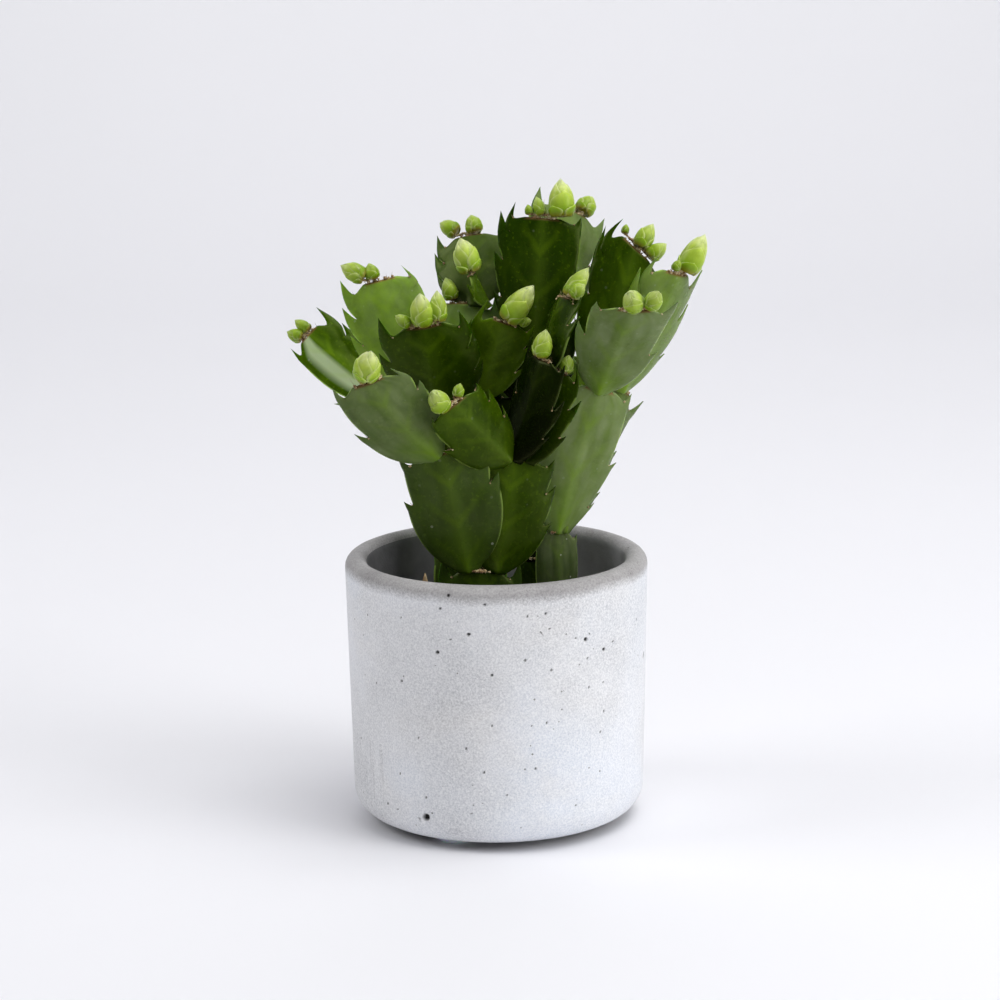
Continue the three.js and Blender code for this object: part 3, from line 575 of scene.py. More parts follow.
            root=(-7, 14, ROOT), tip=(-7, 15, 70), faces=(0, 1, 0.1), width=20, left=[(0.86, 3)],
            right=[(0.86, 3)], tone=(0.1, 0.2, 0.3),
        ),
        "left_pad": dict(
            grows="stub", at=3, tip=(-12, 20, 98), faces=(-0.1, 1, 0.1), width=22, left=PLAIN_TEETH,
            right=[(0.4, 1), (0.7, 2), (0.95, 3)], tone=(0.1, 0.2, 0.8),
        ),
        "right_pad": dict(
            grows="stub", at=-4, tip=(6, 21, 96), faces=(0.2, 1, 0.1), width=21,
            left=[(0.65, 2), (0.95, 3)], right=PLAIN_TEETH, tone=(0.1, 0.1, 0.7),
        ),
        "back_left": dict(
            grows="left_pad", at=1, tip=(-29, 30, 120), faces=(-0.5, 0.8, 0.3), width=19, sweep=-15,
            left=[(0.45, 2), (0.72, 3), (0.94, 4)], right=[(0.6, 3), (0.94, 4)],
            buds=[(0, 5, 0, 7, 5), (3, 35, 0, 4, 3.6)], tone=(0.35, 0.3, 0.4),
        ),
        "back_middle": dict(
            grows="left_pad", at=-3, tip=(-6, 34, 123), faces=(0, 0.9, 0.4), width=21,
            left=[(0.4, 2), (0.7, 3), (0.94, 4)], right=[(0.65, 3), (0.94, 4)],
            buds=[(-1, -5, 0, 8, 6), (3.5, 30, 0, 4, 3.6)], tone=(0.25, 0.4, 0.4),
        ),
        "back_right": dict(
            grows="right_pad", at=-2, tip=(26, 32, 116), faces=(0.4, 0.85, 0.3), width=20, sweep=15,
            left=[(0.6, 3), (0.94, 4)], right=[(0.45, 2), (0.7, 3), (0.94, 4)],
            buds=[(0, 0, 0, 7.5, 5.5)], tone=(0.3, 0.2, 0.4),
        ),
        "back_top": dict(
            grows="right_pad", at=2, tip=(8, 28, 125), faces=(0.1, 1, 0.1), width=19,
            left=[(0.6, 3), (0.94, 4)], right=[(0.45, 2), (0.75, 3), (0.94, 4)],
            buds=[(1, 8, 0, 6.5, 4.8)], tone=(0.2, 0.3, 0.3),
        ),
    },
}
JOINT_HALF_WIDTH, JOINT_SINK, FOLD = 2.2, 1.2, math.radians(10)
SEGMENT_ROWS, SEGMENT_COLUMNS, WIDEST_AT, TIP_NARROWING = 26, 14, 0.55, 0.18
# Half thicknesses in millimetres, each laid over the one before
EDGE_THICK, BODY_THICK, RIB_THICK, JOINT_THICK = 0.34, 0.42, 0.34, 0.55


def width_share(s):
    """Half width of a segment at a place from its joint (0) to its tip (1), as a share of the greatest."""
    if s < WIDEST_AT:
        return (1 - (1 - max(s, 0) / WIDEST_AT) ** 2) ** 0.625
    return 1 - TIP_NARROWING * ((min(s, 1) - WIDEST_AT) / (1 - WIDEST_AT)) ** 1.5


def notch_depth(reach):
    """How far the edge steps in behind a tooth, as a share of the half width there."""
    return min(0.1 + 0.03 * reach, 0.24)


def edge_stations(teeth, half, length, rows):
    """Margin points for each row, as (place, out), and the teeth, as (row, point of the tooth)."""
    steps = [(0.0, 0.0)]
    for place, reach, *_ in teeth:
        steps.append((place, notch_depth(reach)))
    spans = [b[0] - a[0] for a, b in zip(steps, steps[1:])]
    free = rows - 2 - len(teeth)
    shares = [max(2, round(free * span / sum(spans))) for span in spans]
    shares[shares.index(max(shares))] += free - sum(shares)
    stations, claws = [(0.0, JOINT_HALF_WIDTH / half)], []
    for (start, dip), (place, next_dip), count, tooth in zip(steps, steps[1:], shares, teeth):
        reach, lean = tooth[1], tooth[2] if len(tooth) > 2 else 0
        end = max(place - (0.9 + 0.36 * reach) / length, start + 0.3 * (place - start))
        spread = max(0, 0.14 * reach - 0.5 * max(lean, 0)) / half
        for i in range(1, count + 1):
            u = i / count
            s = start + (end - start) * u
            out = width_share(s) * (1 - dip * (1 - u) ** 1.6) + spread * u**3
            stations.append((s, max(out, JOINT_HALF_WIDTH / half) if start == 0 else out))
        flare = (0.3 if place > 0.85 else 0.8) - lean
        claws.append((len(stations) - 1, place * length + reach * 1.18, width_share(place) * half + flare))
        stations.append((place, width_share(place) * (1 - next_dip)))
    last_place, last_out = stations[-1]
    shoulder = min(last_out * 0.6, 0.4)
    stations.append(((last_place + 1) / 2, last_out * 0.54 + shoulder * 0.46))
    stations.append((1.0, shoulder))
    return stations, claws


def grow(plan, grown):
    """Where a segment grows and how it bends: its curve and the frame along it, in millimetres."""
    tip = Vector(plan["tip"])
    if "grows" in plan:
        carrier = grown[plan["grows"]]
        base = carrier["tip"] + carrier["side"] * plan["at"] - carrier["along"] * JOINT_SINK
    else:
        base = Vector(plan["root"])
    chord = tip - base
    length, along = chord.length, chord.normalized()
    front = Vector(plan["faces"])
    front = (front - along * front.dot(along)).normalized()
    side = along.cross(front)
    bulge = [length / 2 * math.tan(math.radians(plan.get(k, 0)) / 2) for k in ("sweep", "curl")]
    control = (base + tip) / 2 - side * bulge[0] - front * bulge[1]

    def frame_at(s):
        t = ((control - base) * (1 - s) + (tip - control) * s).normalized()
        n = (front - t * front.dot(t)).normalized()
        return base * (1 - s) ** 2 + control * 2 * s * (1 - s) + tip * s * s, t, n, t.cross(n)

    slant = math.radians(plan.get("slant", 0))
    _, t, n, across = frame_at(1)
    side = across * math.cos(slant) - t * math.sin(slant)
    along = t * math.cos(slant) + across * math.sin(slant)
    facts = dict(plan=plan, tip=tip, length=length, frame_at=frame_at, slope=math.tan(slant))
    return dict(facts, front=n, side=side, along=along)


def on_segment(segment, out, along, lift, wave=0.0):
    """A point of a segment, from its place in the segment's own plane and its height over the middle."""
    s = min(max(along / segment["length"], 0), 1)
    middle, t, n, across = segment["frame_at"](s)
    share = abs(out) / (segment["plan"]["width"] / 2)
    return (
        middle
        + t * (along - s * segment["length"] - out * segment["slope"] * s**3)
        + across * (out * math.cos(FOLD * share))
        + n * (lift + wave - abs(out) * share * math.sin(FOLD))
    )


def join_into(bm, part):
    """Moves a finished bmesh into another one."""
    mesh = bpy.data.meshes.new("part")
    part.to_mesh(mesh)
    part.free()
    bm.from_mesh(mesh)
    bpy.data.meshes.remove(mesh)


def soften(piece):
    """Rounds a piece's edges."""
    smooth = piece.modifiers.new("soften", "SUBSURF")
    smooth.levels = smooth.render_levels = 1


def add_segment(bm, segment, draw):
    """One segment: a grid trimmed to its outline, with claws drawn out of the edge, then given thickness."""
    plan, length = segment["plan"], segment["length"]
    half, rows = plan["width"] / 2, SEGMENT_ROWS
    sides = {
        hand: edge_stations(plan[name], half, length, rows) for hand, name in ((-1, "left"), (1, "right"))
    }
    flat = bmesh.new()
    layers = [flat.verts.layers.float.new(n) for n in ("across", "along")]
    tints = flat.verts.layers.float_color.new("tone")
    sharp = flat.verts.layers.float.new("crease_vert")
    grid = bmesh.ops.create_grid(flat, x_segments=SEGMENT_COLUMNS, y_segments=rows, size=1)["verts"]
    facts, edge_verts = {}, {}
    for vert in grid:
        x, row = vert.co.x, round((vert.co.y + 1) / 2 * rows)
        hand, a = (1 if x >= 0 else -1), abs(x)
        a = a * (0.42 + 0.93 * a - 0.35 * a * a)
        place, out = sides[hand][0][row]
        s = row / rows * (1 - a**1.5) + place * a**1.5
        vert.co = (hand * a * out * half, s * length, 0)
        facts[vert] = (hand * a, s)
        if abs(x) > 0.999:
            edge_verts[hand, row] = vert
    for hand, (_, claws) in sides.items():
        for row, tip_along, tip_out in claws:
            low, high = edge_verts[hand, row], edge_verts[hand, row + 1]
            high[sharp] = 0.9
            for vert in (low, high):
                facts[vert] = (hand * 1.01, facts[vert][1])
            point = Vector((hand * tip_out, tip_along, 0))
            edge = flat.edges.get((low, high))
            for part, swell in ((0.34, 0.1), (0.68, 0.09), (1.0, 0.0)):
                made = bmesh.ops.extrude_edge_only(flat, edges=[edge])["geom"]
                pair = sorted((g for g in made if isinstance(g, bmesh.types.BMVert)), key=lambda v: v.co.y)
                edge = next(g for g in made if isinstance(g, bmesh.types.BMEdge))
                for vert, root in zip(pair, (low, high)):
                    vert.co = root.co.lerp(point, part)
                    fullness = swell * (1 if root is low else 0.5) * (1 - part)
                    vert.co.x += hand * fullness * (point - root.co).length
                    facts[vert] = (hand * (1 + 0.3 * part), min(vert.co.y / length, 1.12))
                    vert[sharp] = 1.0 if part == 1.0 else 0.0
    for vert, (a, s) in facts.items():
        vert[layers[0]], vert[layers[1]], vert[tints] = a, s, (*plan["tone"], plan.get("shade", 1))
    bmesh.ops.recalc_face_normals(flat, faces=flat.faces)
    if flat.faces[0].normal.z < 0:
        bmesh.ops.reverse_faces(flat, faces=flat.faces)
    bmesh.ops.solidify(flat, geom=flat.faces[:], thickness=1.0)
    bmesh.ops.recalc_face_normals(flat, faces=flat.faces)
    front_level = max(v.co.z for v in flat.verts)
    phase, amount = draw.uniform(0, 6.3), draw.uniform(0.25, 0.6)
    for vert in flat.verts:
        a, s = vert[layers[0]], vert[layers[1]]
        face = 1 if abs(vert.co.z - front_level) < 0.5 else -1
        rib = RIB_THICK * math.exp(-((vert.co.x / 1.5) ** 2)) * (1 - 0.45 * max(s, 0) ** 2)
        body = EDGE_THICK + BODY_THICK * max(0, 1 - abs(a) ** 2.6)
        joint = JOINT_THICK * math.exp(-((s / 0.06) ** 2)) * max(0, 1 - abs(a))
        thick = (body + rib + joint) * (1 if abs(a) <= 1 else max(0.45, 1.9 - abs(a)))
        wave = amount * abs(a) ** 2 * math.sin(7.5 * s + phase + (0.9 if a > 0 else 0)) * min(1, s * 3)
        vert.co = on_segment(segment, vert.co.x, vert.co.y, face * thick, wave) * MM
    join_into(bm, flat)


green = Finish("waxy_green_segment")
flat_map = green.add("UVMap", uv_map="segment").outputs[0]
flat_apart = green.add("SeparateXYZ", {0: flat_map}).outputs
across, along = green.calculate("ABSOLUTE", green.calculate("SUBTRACT", flat_apart[0], 0.5)), flat_apart[1]
tone = green.add("Attribute", attribute_name="tone").outputs
yellow, bloom_and_sheen, glow = green.add("SeparateColor", {0: tone["Color"]}).outputs
patches = green.noise(95, 4)
dark = green.ramp(patches, (0.3, (0.008, 0.026, 0.0001)), (0.7, (0.020, 0.050, 0.0003)))
light = green.ramp(patches, (0.3, (0.130, 0.235, 0.002)), (0.7, (0.190, 0.320, 0.005)))
colour = green.blend(yellow, dark, light)
mottle = green.ramp(green.noise(190, 3, 0.6), (0.34, 0.4), (0.6, 0.0))
colour = green.blend(mottle, colour, dark)
freckle = green.ramp(green.noise(1150, 2, 0.5), (0.6, 0.0), (0.72, 0.22))
colour = green.blend(freckle, colour, light)
streaks = green.noise(5, 2, stretch=(2.2, 0.5, 1), place=flat_map)
colour = green.blend(green.ramp(streaks, (0.5, 0.0), (0.8, 0.10)), colour, light)
# Grey bloom and painted sheen lie in soft bands. The greyest segments have it on one flank only, as a paler
# painted sheen.
grey = green.ramp(green.noise(140, 3), (0.3, (0.115, 0.160, 0.055)), (0.7, (0.185, 0.235, 0.105)))
bands = green.ramp(green.noise(3.6, 2, stretch=(1.8, 0.6, 1), place=flat_map), (0.32, 0.5), (0.6, 1.0))
strong = green.calculate("GREATER_THAN", bloom_and_sheen, 0.95)
flank = green.ramp(flat_apart[0], (0.2, 0.0), (0.31, 1.0), (0.41, 1.0), (0.47, 0.0))
bands = green.blend(strong, bands, flank)
grey = green.blend(strong, grey, (0.25, 0.31, 0.17))
colour = green.blend(green.product(bloom_and_sheen, bands), colour, grey)
# Faint veins rise from the rib, and the rib and the dry tip have their own colours. The foot has a painted
# glow, and the edge a pale line that is partly its own pale margin and partly a painted highlight.
vein_slope = green.calculate("SUBTRACT", along, green.product(across, 0.9))
vein_wave = green.calculate("SINE", green.product(vein_slope, 19.0))
vein = green.ramp(green.calculate("MULTIPLY_ADD", vein_wave, 0.5, 0.5), (0.80, 0.0), (1.0, 0.22))
vein_fade = green.ramp(across, (0.02, 1.0), (0.3, 0.0))
colour = green.blend(green.product(vein, vein_fade), colour, light)
rib_zone = green.ramp(across, (0.0, 1.0), (0.035, 0.75), (0.11, 0.0))
rib_near = green.calculate("SUBTRACT", 1, green.product(along, 0.55))
colour = green.blend(green.product(rib_zone, rib_near, 0.42), colour, (0.14, 0.24, 0.015))
# Painted glow at the middle of the segment's foot
base_zone = green.ramp(along, (0.0, 1.0), (0.12, 0.8), (0.42, 0.0))
middle_zone = green.ramp(across, (0.0, 1.0), (0.3, 0.25), (0.42, 0.0))
foot_glow = green.product(base_zone, middle_zone, glow, clamp=True)
colour = green.blend(foot_glow, colour, (0.20, 0.36, 0.012))
# A pale margin line, partly the segment's own colour and partly a painted highlight
edge_line = green.ramp(across, (0.36, 0.0), (0.374, 1.0))
colour = green.blend(green.product(edge_line, 0.6), colour, (0.34, 0.48, 0.10))
dry_tip = green.ramp(along, (0.975, 0.0), (0.992, 1.0))
dry_tip = green.product(dry_tip, green.calculate("LESS_THAN", across, 0.3), 0.85)
colour = green.blend(dry_tip, colour, (0.15, 0.075, 0.03))
# Pale specks, most of them on the lowest segments
specks = green.add("TexVoronoi", {"Scale": 330, "Vector": green.place}).outputs
speck = green.calculate("LESS_THAN", specks["Distance"], 0.13)
speck_some = green.calculate("GREATER_THAN", specks["Color"], 0.66)
height = green.add("SeparateXYZ", {0: green.place}).outputs["Z"]
low_down = green.ramp(green.product(height, 10), (0.72, 1.0), (0.86, 0.1))
colour = green.blend(green.product(speck, speck_some, low_down, 0.7), colour, (0.62, 0.66, 0.55))
# The lower part of a segment that stands among others is painted darker, as painted shade between the
# segments, and each segment's shade paints it lighter or darker as a whole.
painted_base_shade = green.product(green.calculate("SUBTRACT", 1, tone["Alpha"]), 2.4, clamp=True)
painted_base_shade = green.product(painted_base_shade, green.ramp(along, (0.1, 0.85), (0.85, 0.0)))
painted_light_and_shade = green.product(green.calculate("SUBTRACT", 1, painted_base_shade), tone["Alpha"])
green.look({
    "Base Color": green.blend(1.0, colour, painted_light_and_shade, "MULTIPLY"),
    "Roughness": green.ramp(green.noise(210, 3), (0.3, 0.2), (0.7, 0.32)),
    "Specular IOR Level": 0.16,
    "Specular Tint": (0.85, 1.0, 0.3),
    "Subsurface Weight": 0.16,
    "Subsurface Radius": (0.35, 0.9, 0.08),
    "Subsurface Scale": 1.6 * MM,
})
swelling = green.bump(green.noise(120, 2), 0.35, 0.9 * MM)
green.bump(green.noise(1300, 3), 0.12, 0.12 * MM, swelling)

SEGMENTS = {}
wave_draw = random.Random(5)
for side_name, plans in CUTTINGS.items():
    shoot, grown = bmesh.new(), {}
    for name, plan in plans.items():
        grown[name] = grow(plan, grown)
        add_segment(shoot, grown[name], wave_draw)
    SEGMENTS[side_name] = grown
    across_layer, along_layer = (shoot.verts.layers.float[n] for n in ("across", "along"))
    uv = shoot.loops.layers.uv.new("segment")
    for face in shoot.faces:
        for loop in face.loops:
            out = loop.vert[across_layer]
            out = math.copysign(0.88, out) if abs(out) > 1.005 else out
            loop[uv].uv = (0.5 + 0.38 * out, max(loop.vert[along_layer], 0))
    nodes = [f"{side_name}_shoot"]
    soften(place_piece(f"{side_name}_shoot_segments", shoot, [green], nodes))

# Areoles
# Each notch of the edge and each tip carries a small cushion of pale wool, dry and rusty brown where
# it has aged, with a few stiff hairs. It is what is left of a cactus's spines, and it grows there.
STUB_LUMPS, TIP_LUMPS, TIP_HAIRS, NOTCH_HAIR_RADIUS, TIP_HAIR_RADIUS = 26, 20, 9, 0.07, 0.065

wool = Finish("areole_wool")
fleck = wool.ramp(
    wool.noise(900, 4, 0.65),
    (0.3, (0.075, 0.030, 0.010)), (0.45, (0.26, 0.15, 0.055)),
    (0.58, (0.52, 0.42, 0.22)), (0.75, (0.72, 0.68, 0.50)),
)
wool.look({"Base Color": fleck, "Roughness": 0.9, "Sheen Weight": 0.3})
wool.bump(wool.noise(2600, 4), 0.8, 0.2 * MM)

hair = Finish("areole_hairs")
hair_shades = (0.35, (0.09, 0.045, 0.02)), (0.65, (0.42, 0.33, 0.17))
hair.look({"Base Color": hair.ramp(hair.noise(500), *hair_shades), "Roughness": 0.6})


def add_lump(bm, centre, size, draw, dent=0.25):
    """A dented ball of wool, centre and size in millimetres."""
    stretch = Matrix.Diagonal((draw.uniform(0.8, 1.3), draw.uniform(0.7, 1.1), draw.uniform(0.7, 1.1), 1))
    spot = Matrix.Translation(centre * MM) @ stretch
    made = bmesh.ops.create_icosphere(bm, subdivisions=1, radius=size * MM, matrix=spot)["verts"]
    for vert in made:
        vert.co += Vector([draw.uniform(-dent, dent) * size * MM for _ in range(3)])
    return made


def add_hair(bm, foot, segment, sideways, forward, length, thick):
    """One stiff hair, a slim pointed cone with three sides, in millimetres."""
    way = segment["along"] + segment["side"] * sideways
    way = (way + segment["front"] * forward).normalized()
    turning = way.to_track_quat("Z", "Y").to_matrix().to_4x4()
    bmesh.ops.create_cone(
        bm, cap_ends=True, segments=3, radius1=thick * MM, radius2=thick * 0.15 * MM, depth=length * MM,
        matrix=Matrix.Translation((foot + way * length * 0.45) * MM) @ turning,
    )


wool_draw = random.Random(11)
wool_lumps, hairs = bmesh.new(), bmesh.new()
for side_name, grown in SEGMENTS.items():
    for name, segment in grown.items():
        plan, length, half = segment["plan"], segment["length"], segment["plan"]["width"] / 2
        for hand, key in ((-1, "left"), (1, "right")):
            for place_share, reach, *_ in plan[key]:
                out = hand * width_share(place_share) * half * (1 - notch_depth(reach)) + hand * 0.1
                spot = on_segment(segment, out, place_share * length + 0.15, wool_draw.uniform(-0.1, 0.25))
                add_lump(wool_lumps, spot, wool_draw.uniform(0.22, 0.36), wool_draw)
                for _ in range(wool_draw.choice((0, 1, 2))):
                    sideways, forward = hand * wool_draw.uniform(0.2, 1.1), wool_draw.uniform(-0.6, 0.8)
                    hair_length = wool_draw.uniform(0.8, 1.7)
                    add_hair(hairs, spot, segment, sideways, forward, hair_length, NOTCH_HAIR_RADIUS)
        if name == "stub":
            for _ in range(STUB_LUMPS):
                spot = on_segment(segment, wool_draw.gauss(0, 1.1), length - 0.3, wool_draw.uniform(0.3, 1.5))
                add_lump(wool_lumps, spot, wool_draw.uniform(0.3, 0.6), wool_draw, 0.35)
        cushion_out = min(0.34 * half, 3.6)
        for _ in range(TIP_LUMPS):
            out, past = wool_draw.uniform(-1, 1) * cushion_out, wool_draw.uniform(-0.15, 0.3)
            spot = on_segment(segment, out, length + past, wool_draw.uniform(-0.6, 0.6))
            add_lump(wool_lumps, spot, wool_draw.uniform(0.2, 0.5), wool_draw, 0.35)
        for _ in range(TIP_HAIRS):
            out = wool_draw.uniform(-1.15, 1.15) * cushion_out
            spot = on_segment(segment, out, length, wool_draw.uniform(-0.4, 0.4))
            sideways, forward = wool_draw.uniform(-0.7, 0.7), wool_draw.uniform(-0.9, 0.9)
            add_hair(hairs, spot, segment, sideways, forward, wool_draw.uniform(1.0, 2.4), TIP_HAIR_RADIUS)
place_piece("areole_wool", wool_lumps, [wool], ())
place_piece("areole_hairs", hairs, [hair], ())

# Flower buds
# Fleshy pointed buds, 2 to 12 mm long, of petals that are still folded over each other. They are
# yellow-green at the foot and paler at the tip, and sit on the woolly cushion of a segment's tip.
CLEARANCE, CUSHION_RISE, CUSHION_OVERHANG = 0.3, 1.1, 1.3
# Rings of petals from the foot up: number, foot and point as shares of the height, half angle, lift
PETAL_RINGS = [
    (3, -0.02, 0.32, 60, 0.16), (2, 0.0, 0.7, 84, 0.12), (3, 0.04, 0.9, 68, 0.06), (3, 0.25, 1.0, 74, 0.0),
]

petal = Finish("folded_petals")
tone = petal.add("Attribute", attribute_name="tone").outputs["Color"]
height, margin, ripeness = petal.add("SeparateColor", {0: tone}).outputs
young = petal.ramp(
    height,
    (0.0, (0.11, 0.20, 0.003)), (0.4, (0.20, 0.35, 0.010)),
    (0.8, (0.34, 0.52, 0.04)), (1.0, (0.46, 0.62, 0.10)),
)
ripe = petal.ramp(
    height,
    (0.0, (0.12, 0.23, 0.003)), (0.25, (0.29, 0.47, 0.02)),
    (0.62, (0.50, 0.68, 0.09)), (1.0, (0.82, 0.90, 0.42)),
)
colour = petal.blend(ripeness, young, ripe)
colour = petal.blend(petal.ramp(petal.noise(420, 3), (0.42, 0.0), (0.72, 0.5)), colour, (0.19, 0.33, 0.006))
colour = petal.blend(petal.ramp(margin, (0.7, 0.0), (0.97, 0.34)), colour, (0.84, 0.92, 0.40))
foot_tint = petal.ramp(height, (0.0, 0.55), (0.13, 0.0))
petal.look({
    "Base Color": petal.blend(foot_tint, colour, (0.33, 0.19, 0.03)),
    "Roughness": petal.ramp(petal.noise(700), (0.3, 0.28), (0.7, 0.42)),
    "Specular IOR Level": 0.3,
    "Specular Tint": (1, 1, 0.7),
    "Subsurface Weight": 0.35,
    "Subsurface Radius": (0.8, 1.0, 0.25),
    "Subsurface Scale": 1.8 * MM,
})
petal.bump(petal.noise(520, 2, stretch=(1, 1, 0.35)), 0.25, 0.25 * MM)


def bud_radius(h):
    """Radius of a bud at a share of its height, as a share of its greatest radius."""
    if h < 0.36:
        return 0.55 + 0.45 * math.sqrt(max(0, 1 - ((0.36 - h) / 0.37) ** 2))
    return max(0, 1 - ((h - 0.36) / 0.64) ** 2.1)


def add_petal(bm, around, foot, point, half_angle, lift, radius, length, shift, ripe_share):
    """One folded petal: a pointed flat grid, given thickness and wrapped round the bud."""
    flat = bmesh.new()
    tint = flat.verts.layers.float_color.new("tone")
    bmesh.ops.create_grid(flat, x_segments=6, y_segments=6, size=1)
    for vert in flat.verts:
        vert.co.y = (vert.co.y + 1) / 2
        h = foot + (point - foot) * vert.co.y
        vert[tint] = (max(0, h), abs(vert.co.x) if vert.co.y < 0.98 else 1, ripe_share, 1)
    bmesh.ops.solidify(flat, geom=flat.faces[:], thickness=1.0)
    bmesh.ops.recalc_face_normals(flat, faces=flat.faces)
    top = max(v.co.z for v in flat.verts)
    for vert in flat.verts:
        u, v = vert.co.x, vert.co.y
        outside = abs(vert.co.z - top) < 0.5
        width = (0.72 + 0.6 * v) if v < 0.4 else 0.96 * max(0.0, 1 - ((v - 0.4) / 0.6) ** 2.4)
        angle = around + math.radians(half_angle) * u * width + shift * v
        h = foot + (point - foot) * v * (1 - 0.05 * u * u)
        layer = (lift + 0.045 * (1 - abs(u) * 0.5)) * radius
        layer = layer if outside else layer * 0.35 - 0.05 * radius
        closed = radius * bud_radius(max(0, h)) * (0.9 if point > 0.99 else 0.86)
        r = closed + layer * min(1, 0.4 + 2.2 * (1 - max(h, 0)))
        if point > 0.99 and v > 0.99:
            r *= 0.2
        vert.co = (math.cos(angle) * r, math.sin(angle) * r, h * length)
    bmesh.ops.recalc_face_normals(flat, faces=flat.faces)
    join_into(bm, flat)


bud_draw = random.Random(3)


def add_bud(cluster, seat, at, lean, forward, length, width):
    """One bud on the cushion of a tip: a closed core with rings of folded petals over it."""
    radius, tilt = width / 2, math.radians(math.hypot(lean, forward))
    lift = CLEARANCE + max(CUSHION_RISE * 0.4, 0.1 + 0.33 * width * math.sin(tilt))
    ripe_share = min(1, max(0, (length - 3) / 5)) * (1.0 if width > 6.2 else 0.75)
    bud = bmesh.new()
    tint = bud.verts.layers.float_color.new("tone")
    core_height = length * 0.985
    core = [(radius * 0.8 * bud_radius(i / 10), core_height * i / 10) for i in range(10)]
    turn(bud, [(0, 0)] + core + [(0, core_height)], 12)
    for vert in bud.verts:
        vert[tint] = (max(0, vert.co.z / length), 0, ripe_share, 1)
    turned = bud_draw.uniform(0, math.tau)
    for ring, (count, foot, point, half_angle, ring_lift) in enumerate(PETAL_RINGS):
        for k in range(count):
            around = turned + math.tau * k / count + ring * 1.15 + bud_draw.uniform(-0.12, 0.12)
            higher = point - bud_draw.uniform(0, 0.05) if point < 0.99 else point
            shift = bud_draw.uniform(0.05, 0.3)
            add_petal(bud, around, foot, higher, half_angle, ring_lift, radius, length, shift, ripe_share)
    leaning = Matrix.Rotation(math.radians(lean), 4, "Y") @ Matrix.Rotation(math.radians(forward), 4, "X")
    spot = Matrix.Scale(MM, 4) @ seat @ Matrix.Translation((at, 0, lift)) @ leaning
    bmesh.ops.transform(bud, verts=bud.verts, matrix=spot)
    join_into(cluster, bud)


def add_cushion(cluster, seat, places):
    """A row of woolly lumps under a cluster's buds, in the second of its finishes."""
    middle = (min(places) + max(places)) / 2
    half_length = (max(places) - min(places)) / 2 + CUSHION_OVERHANG
    count, wool_verts = max(6, round(half_length * 4)), []
    for i in range(count):
        u = -1 + 2 * i / (count - 1)
        sideways = middle + u * (half_length - 0.7)
        spot = Vector((sideways, bud_draw.uniform(-0.5, 0.5), 0.75 + bud_draw.uniform(-0.1, 0.25)))
        size = 0.62 - 0.2 * abs(u) + bud_draw.uniform(-0.05, 0.08)
        wool_verts += add_lump(cluster, seat @ spot, size, bud_draw, 0.2)
    for face in {f for v in wool_verts for f in v.link_faces}:
        face.material_index = 1


for side_name, grown in SEGMENTS.items():
    for name, segment in grown.items():
        buds = segment["plan"].get("buds")
        if not buds:
            continue
        seat = Matrix((segment["side"], -segment["front"], segment["along"])).transposed().to_4x4()
        seat.translation = segment["tip"]
        cluster = bmesh.new()
        cluster.verts.layers.float_color.new("tone")
        for bud in buds:
            add_bud(cluster, seat, *bud)
        add_cushion(cluster, seat, [bud[0] for bud in buds])
        nodes = [f"buds_{side_name}_{name}"]
        soften(place_piece(f"{side_name}_{name}_buds", cluster, [petal, wool], nodes))

# Dry husk
# What is left of an old segment, brown and papery, curled along its length. It stands in the soil to
# the left of the front cutting, and only its point shows over the rim. Its sizes are in millimetres.
HUSK_PLACE, HUSK_TOP, HUSK_WIDTH, HUSK_THICKNESS = Vector((-18.4, -20.0, 0)), 70.6, 2.6, 0.3
HUSK_FOOT, HUSK_CURL, HUSK_BEND = SOIL_TOP / MM - 1.5, 0.22, 0.5

dry = Finish("dry_papery_husk")
fibres = dry.noise(650, 3, stretch=(1, 1, 0.25))
husk_shades = (0.35, (0.24, 0.14, 0.06)), (0.55, (0.50, 0.36, 0.19)), (0.7, (0.66, 0.53, 0.33))
dry.look({"Base Color": dry.ramp(fibres, *husk_shades), "Roughness": 0.8})
dry.bump(fibres, 0.5, 0.2 * MM)

husk = bmesh.new()
bmesh.ops.create_grid(husk, x_segments=6, y_segments=16, size=1)
bmesh.ops.solidify(husk, geom=husk.faces[:], thickness=HUSK_THICKNESS)
for vert in husk.verts:
    up = (vert.co.y + 1) / 2
    out = vert.co.x * HUSK_WIDTH / 2 * (1 - 0.96 * up**6)
    back_and_forth = HUSK_BEND * math.sin(3.0 * up) + vert.co.z - HUSK_CURL * out * out
    vert.co = (HUSK_PLACE + Vector((out, back_and_forth, HUSK_FOOT + up * (HUSK_TOP - HUSK_FOOT)))) * MM
bmesh.ops.recalc_face_normals(husk, faces=husk.faces)
place_piece("dry_husk", husk, [dry], ())

# Floor, light and camera
# A pale tabletop that curves up behind. Soft lights stand at the right, above, in front and at the
# left, and one more lights the curve behind. The camera stands where the photo's did.
tabletop_finish = Finish("pale_tabletop")
table_shades = (0.3, (0.81, 0.81, 0.84)), (0.7, (0.82, 0.82, 0.85))
tabletop_finish.look({
    "Base Color": tabletop_finish.ramp(tabletop_finish.noise(3, 2), *table_shades),
    "Roughness": 0.6,
})
TABLE_HALF_WIDTH, SWEEP_START, SWEEP_ROUND, SWEEP_TOP = 2.2, 0.9, 0.5, 2.2
sweep_profile = [(y, 0.0) for y in (-0.4, 0, 0.6)]
sweep_profile += [
    (SWEEP_START + SWEEP_ROUND * math.sin(a), SWEEP_ROUND - SWEEP_ROUND * math.cos(a))
    for a in (i * math.pi / 24 for i in range(13))
]
sweep_profile += [(SWEEP_START + SWEEP_ROUND, SWEEP_TOP)]
table = bmesh.new()
line_verts = [table.verts.new((-TABLE_HALF_WIDTH, y, z)) for y, z in sweep_profile]
line_edges = [table.edges.new(pair) for pair in zip(line_verts, line_verts[1:])]
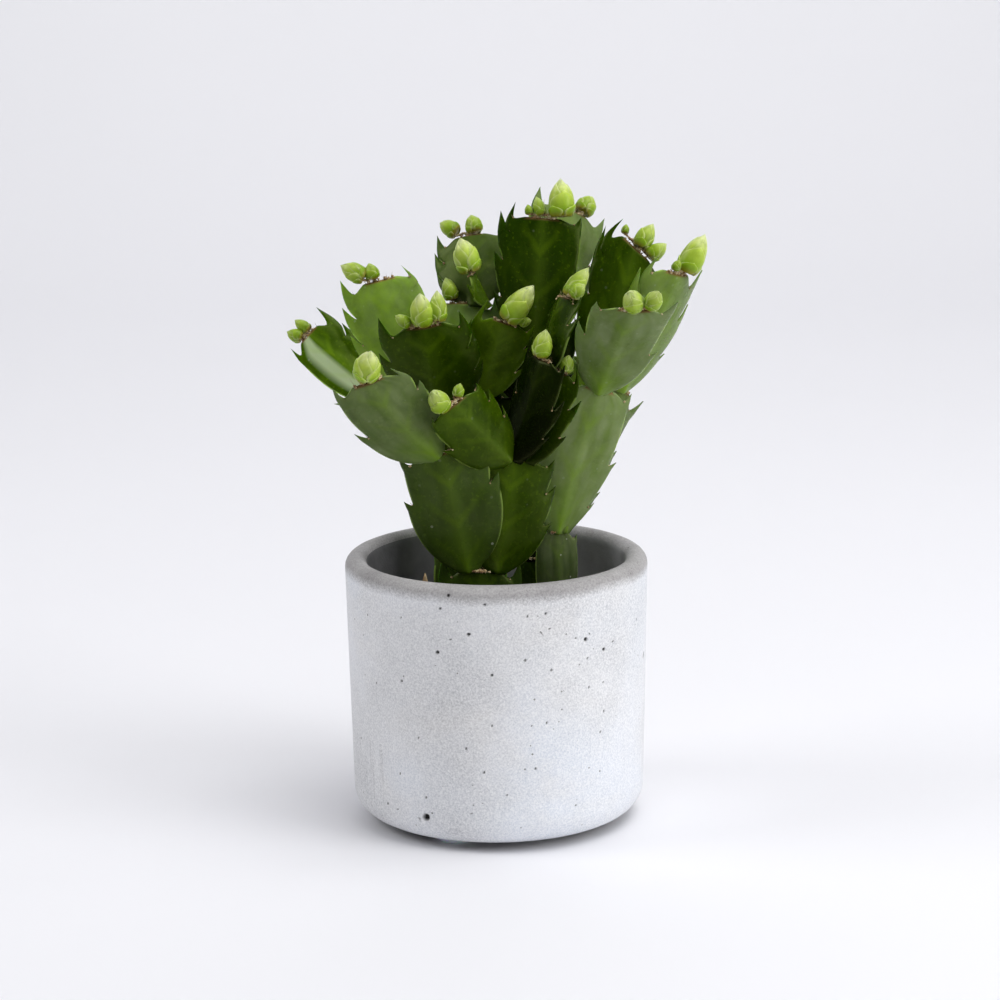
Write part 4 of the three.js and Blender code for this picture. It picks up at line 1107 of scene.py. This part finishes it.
swept = bmesh.ops.extrude_edge_only(table, edges=line_edges)["geom"]
swept_verts = [g for g in swept if isinstance(g, bmesh.types.BMVert)]
bmesh.ops.translate(table, verts=swept_verts, vec=(2 * TABLE_HALF_WIDTH, 0, 0))
bmesh.ops.recalc_face_normals(table, faces=table.faces)
make_object("tabletop", table, [tabletop_finish])

world = bpy.data.worlds.new("room")
world.use_nodes = True
world.node_tree.nodes["Background"].inputs["Color"].default_value = (0.95, 0.95, 1.0, 1)
world.node_tree.nodes["Background"].inputs["Strength"].default_value = 0.16
bpy.context.scene.world = world


def soft_light(name, spot, aim, width, height, power):
    """A rectangle of soft light that faces its aim and isn't seen itself."""
    lamp = bpy.data.lights.new(name, "AREA")
    lamp.shape = "RECTANGLE"
    lamp.size, lamp.size_y, lamp.energy = width, height, power
    holder = bpy.data.objects.new(name, lamp)
    facing = (Vector(aim) - Vector(spot)).to_track_quat("-Z", "Y").to_matrix().to_4x4()
    holder.matrix_world = Matrix.Translation(spot) @ facing
    holder.visible_camera = False
    bpy.context.scene.collection.objects.link(holder)


soft_light("softbox_right", (0.8, -0.42, 0.42), (0, 0, 0.08), 0.5, 0.7, 4.8)
soft_light("softbox_above", (0.27, -0.12, 0.93), (0, 0, 0.08), 0.8, 0.6, 6.0)
soft_light("softbox_front", (-0.1, -0.78, 0.12), (0, 0, 0.02), 0.6, 0.16, 0.35)
soft_light("softbox_left", (-0.75, -0.1, 0.6), (0, 0, 0.12), 0.4, 0.5, 2.7)
soft_light("backdrop_light", (0, 0.5, 1.5), (0, 1.45, 1.15), 2.4, 0.5, 19.0)

lens = bpy.data.cameras.new("camera")
lens.sensor_width = 36
lens.lens = FOCAL_PIXELS / FRAME_PIXELS * lens.sensor_width
lens.clip_start, lens.clip_end = 0.05, 20
camera = bpy.data.objects.new("camera", lens)
camera.matrix_world = Matrix.Translation(camera_place) @ camera_turn
bpy.context.scene.collection.objects.link(camera)
bpy.context.scene.camera = camera
bpy.context.scene.view_settings.view_transform = "Standard"
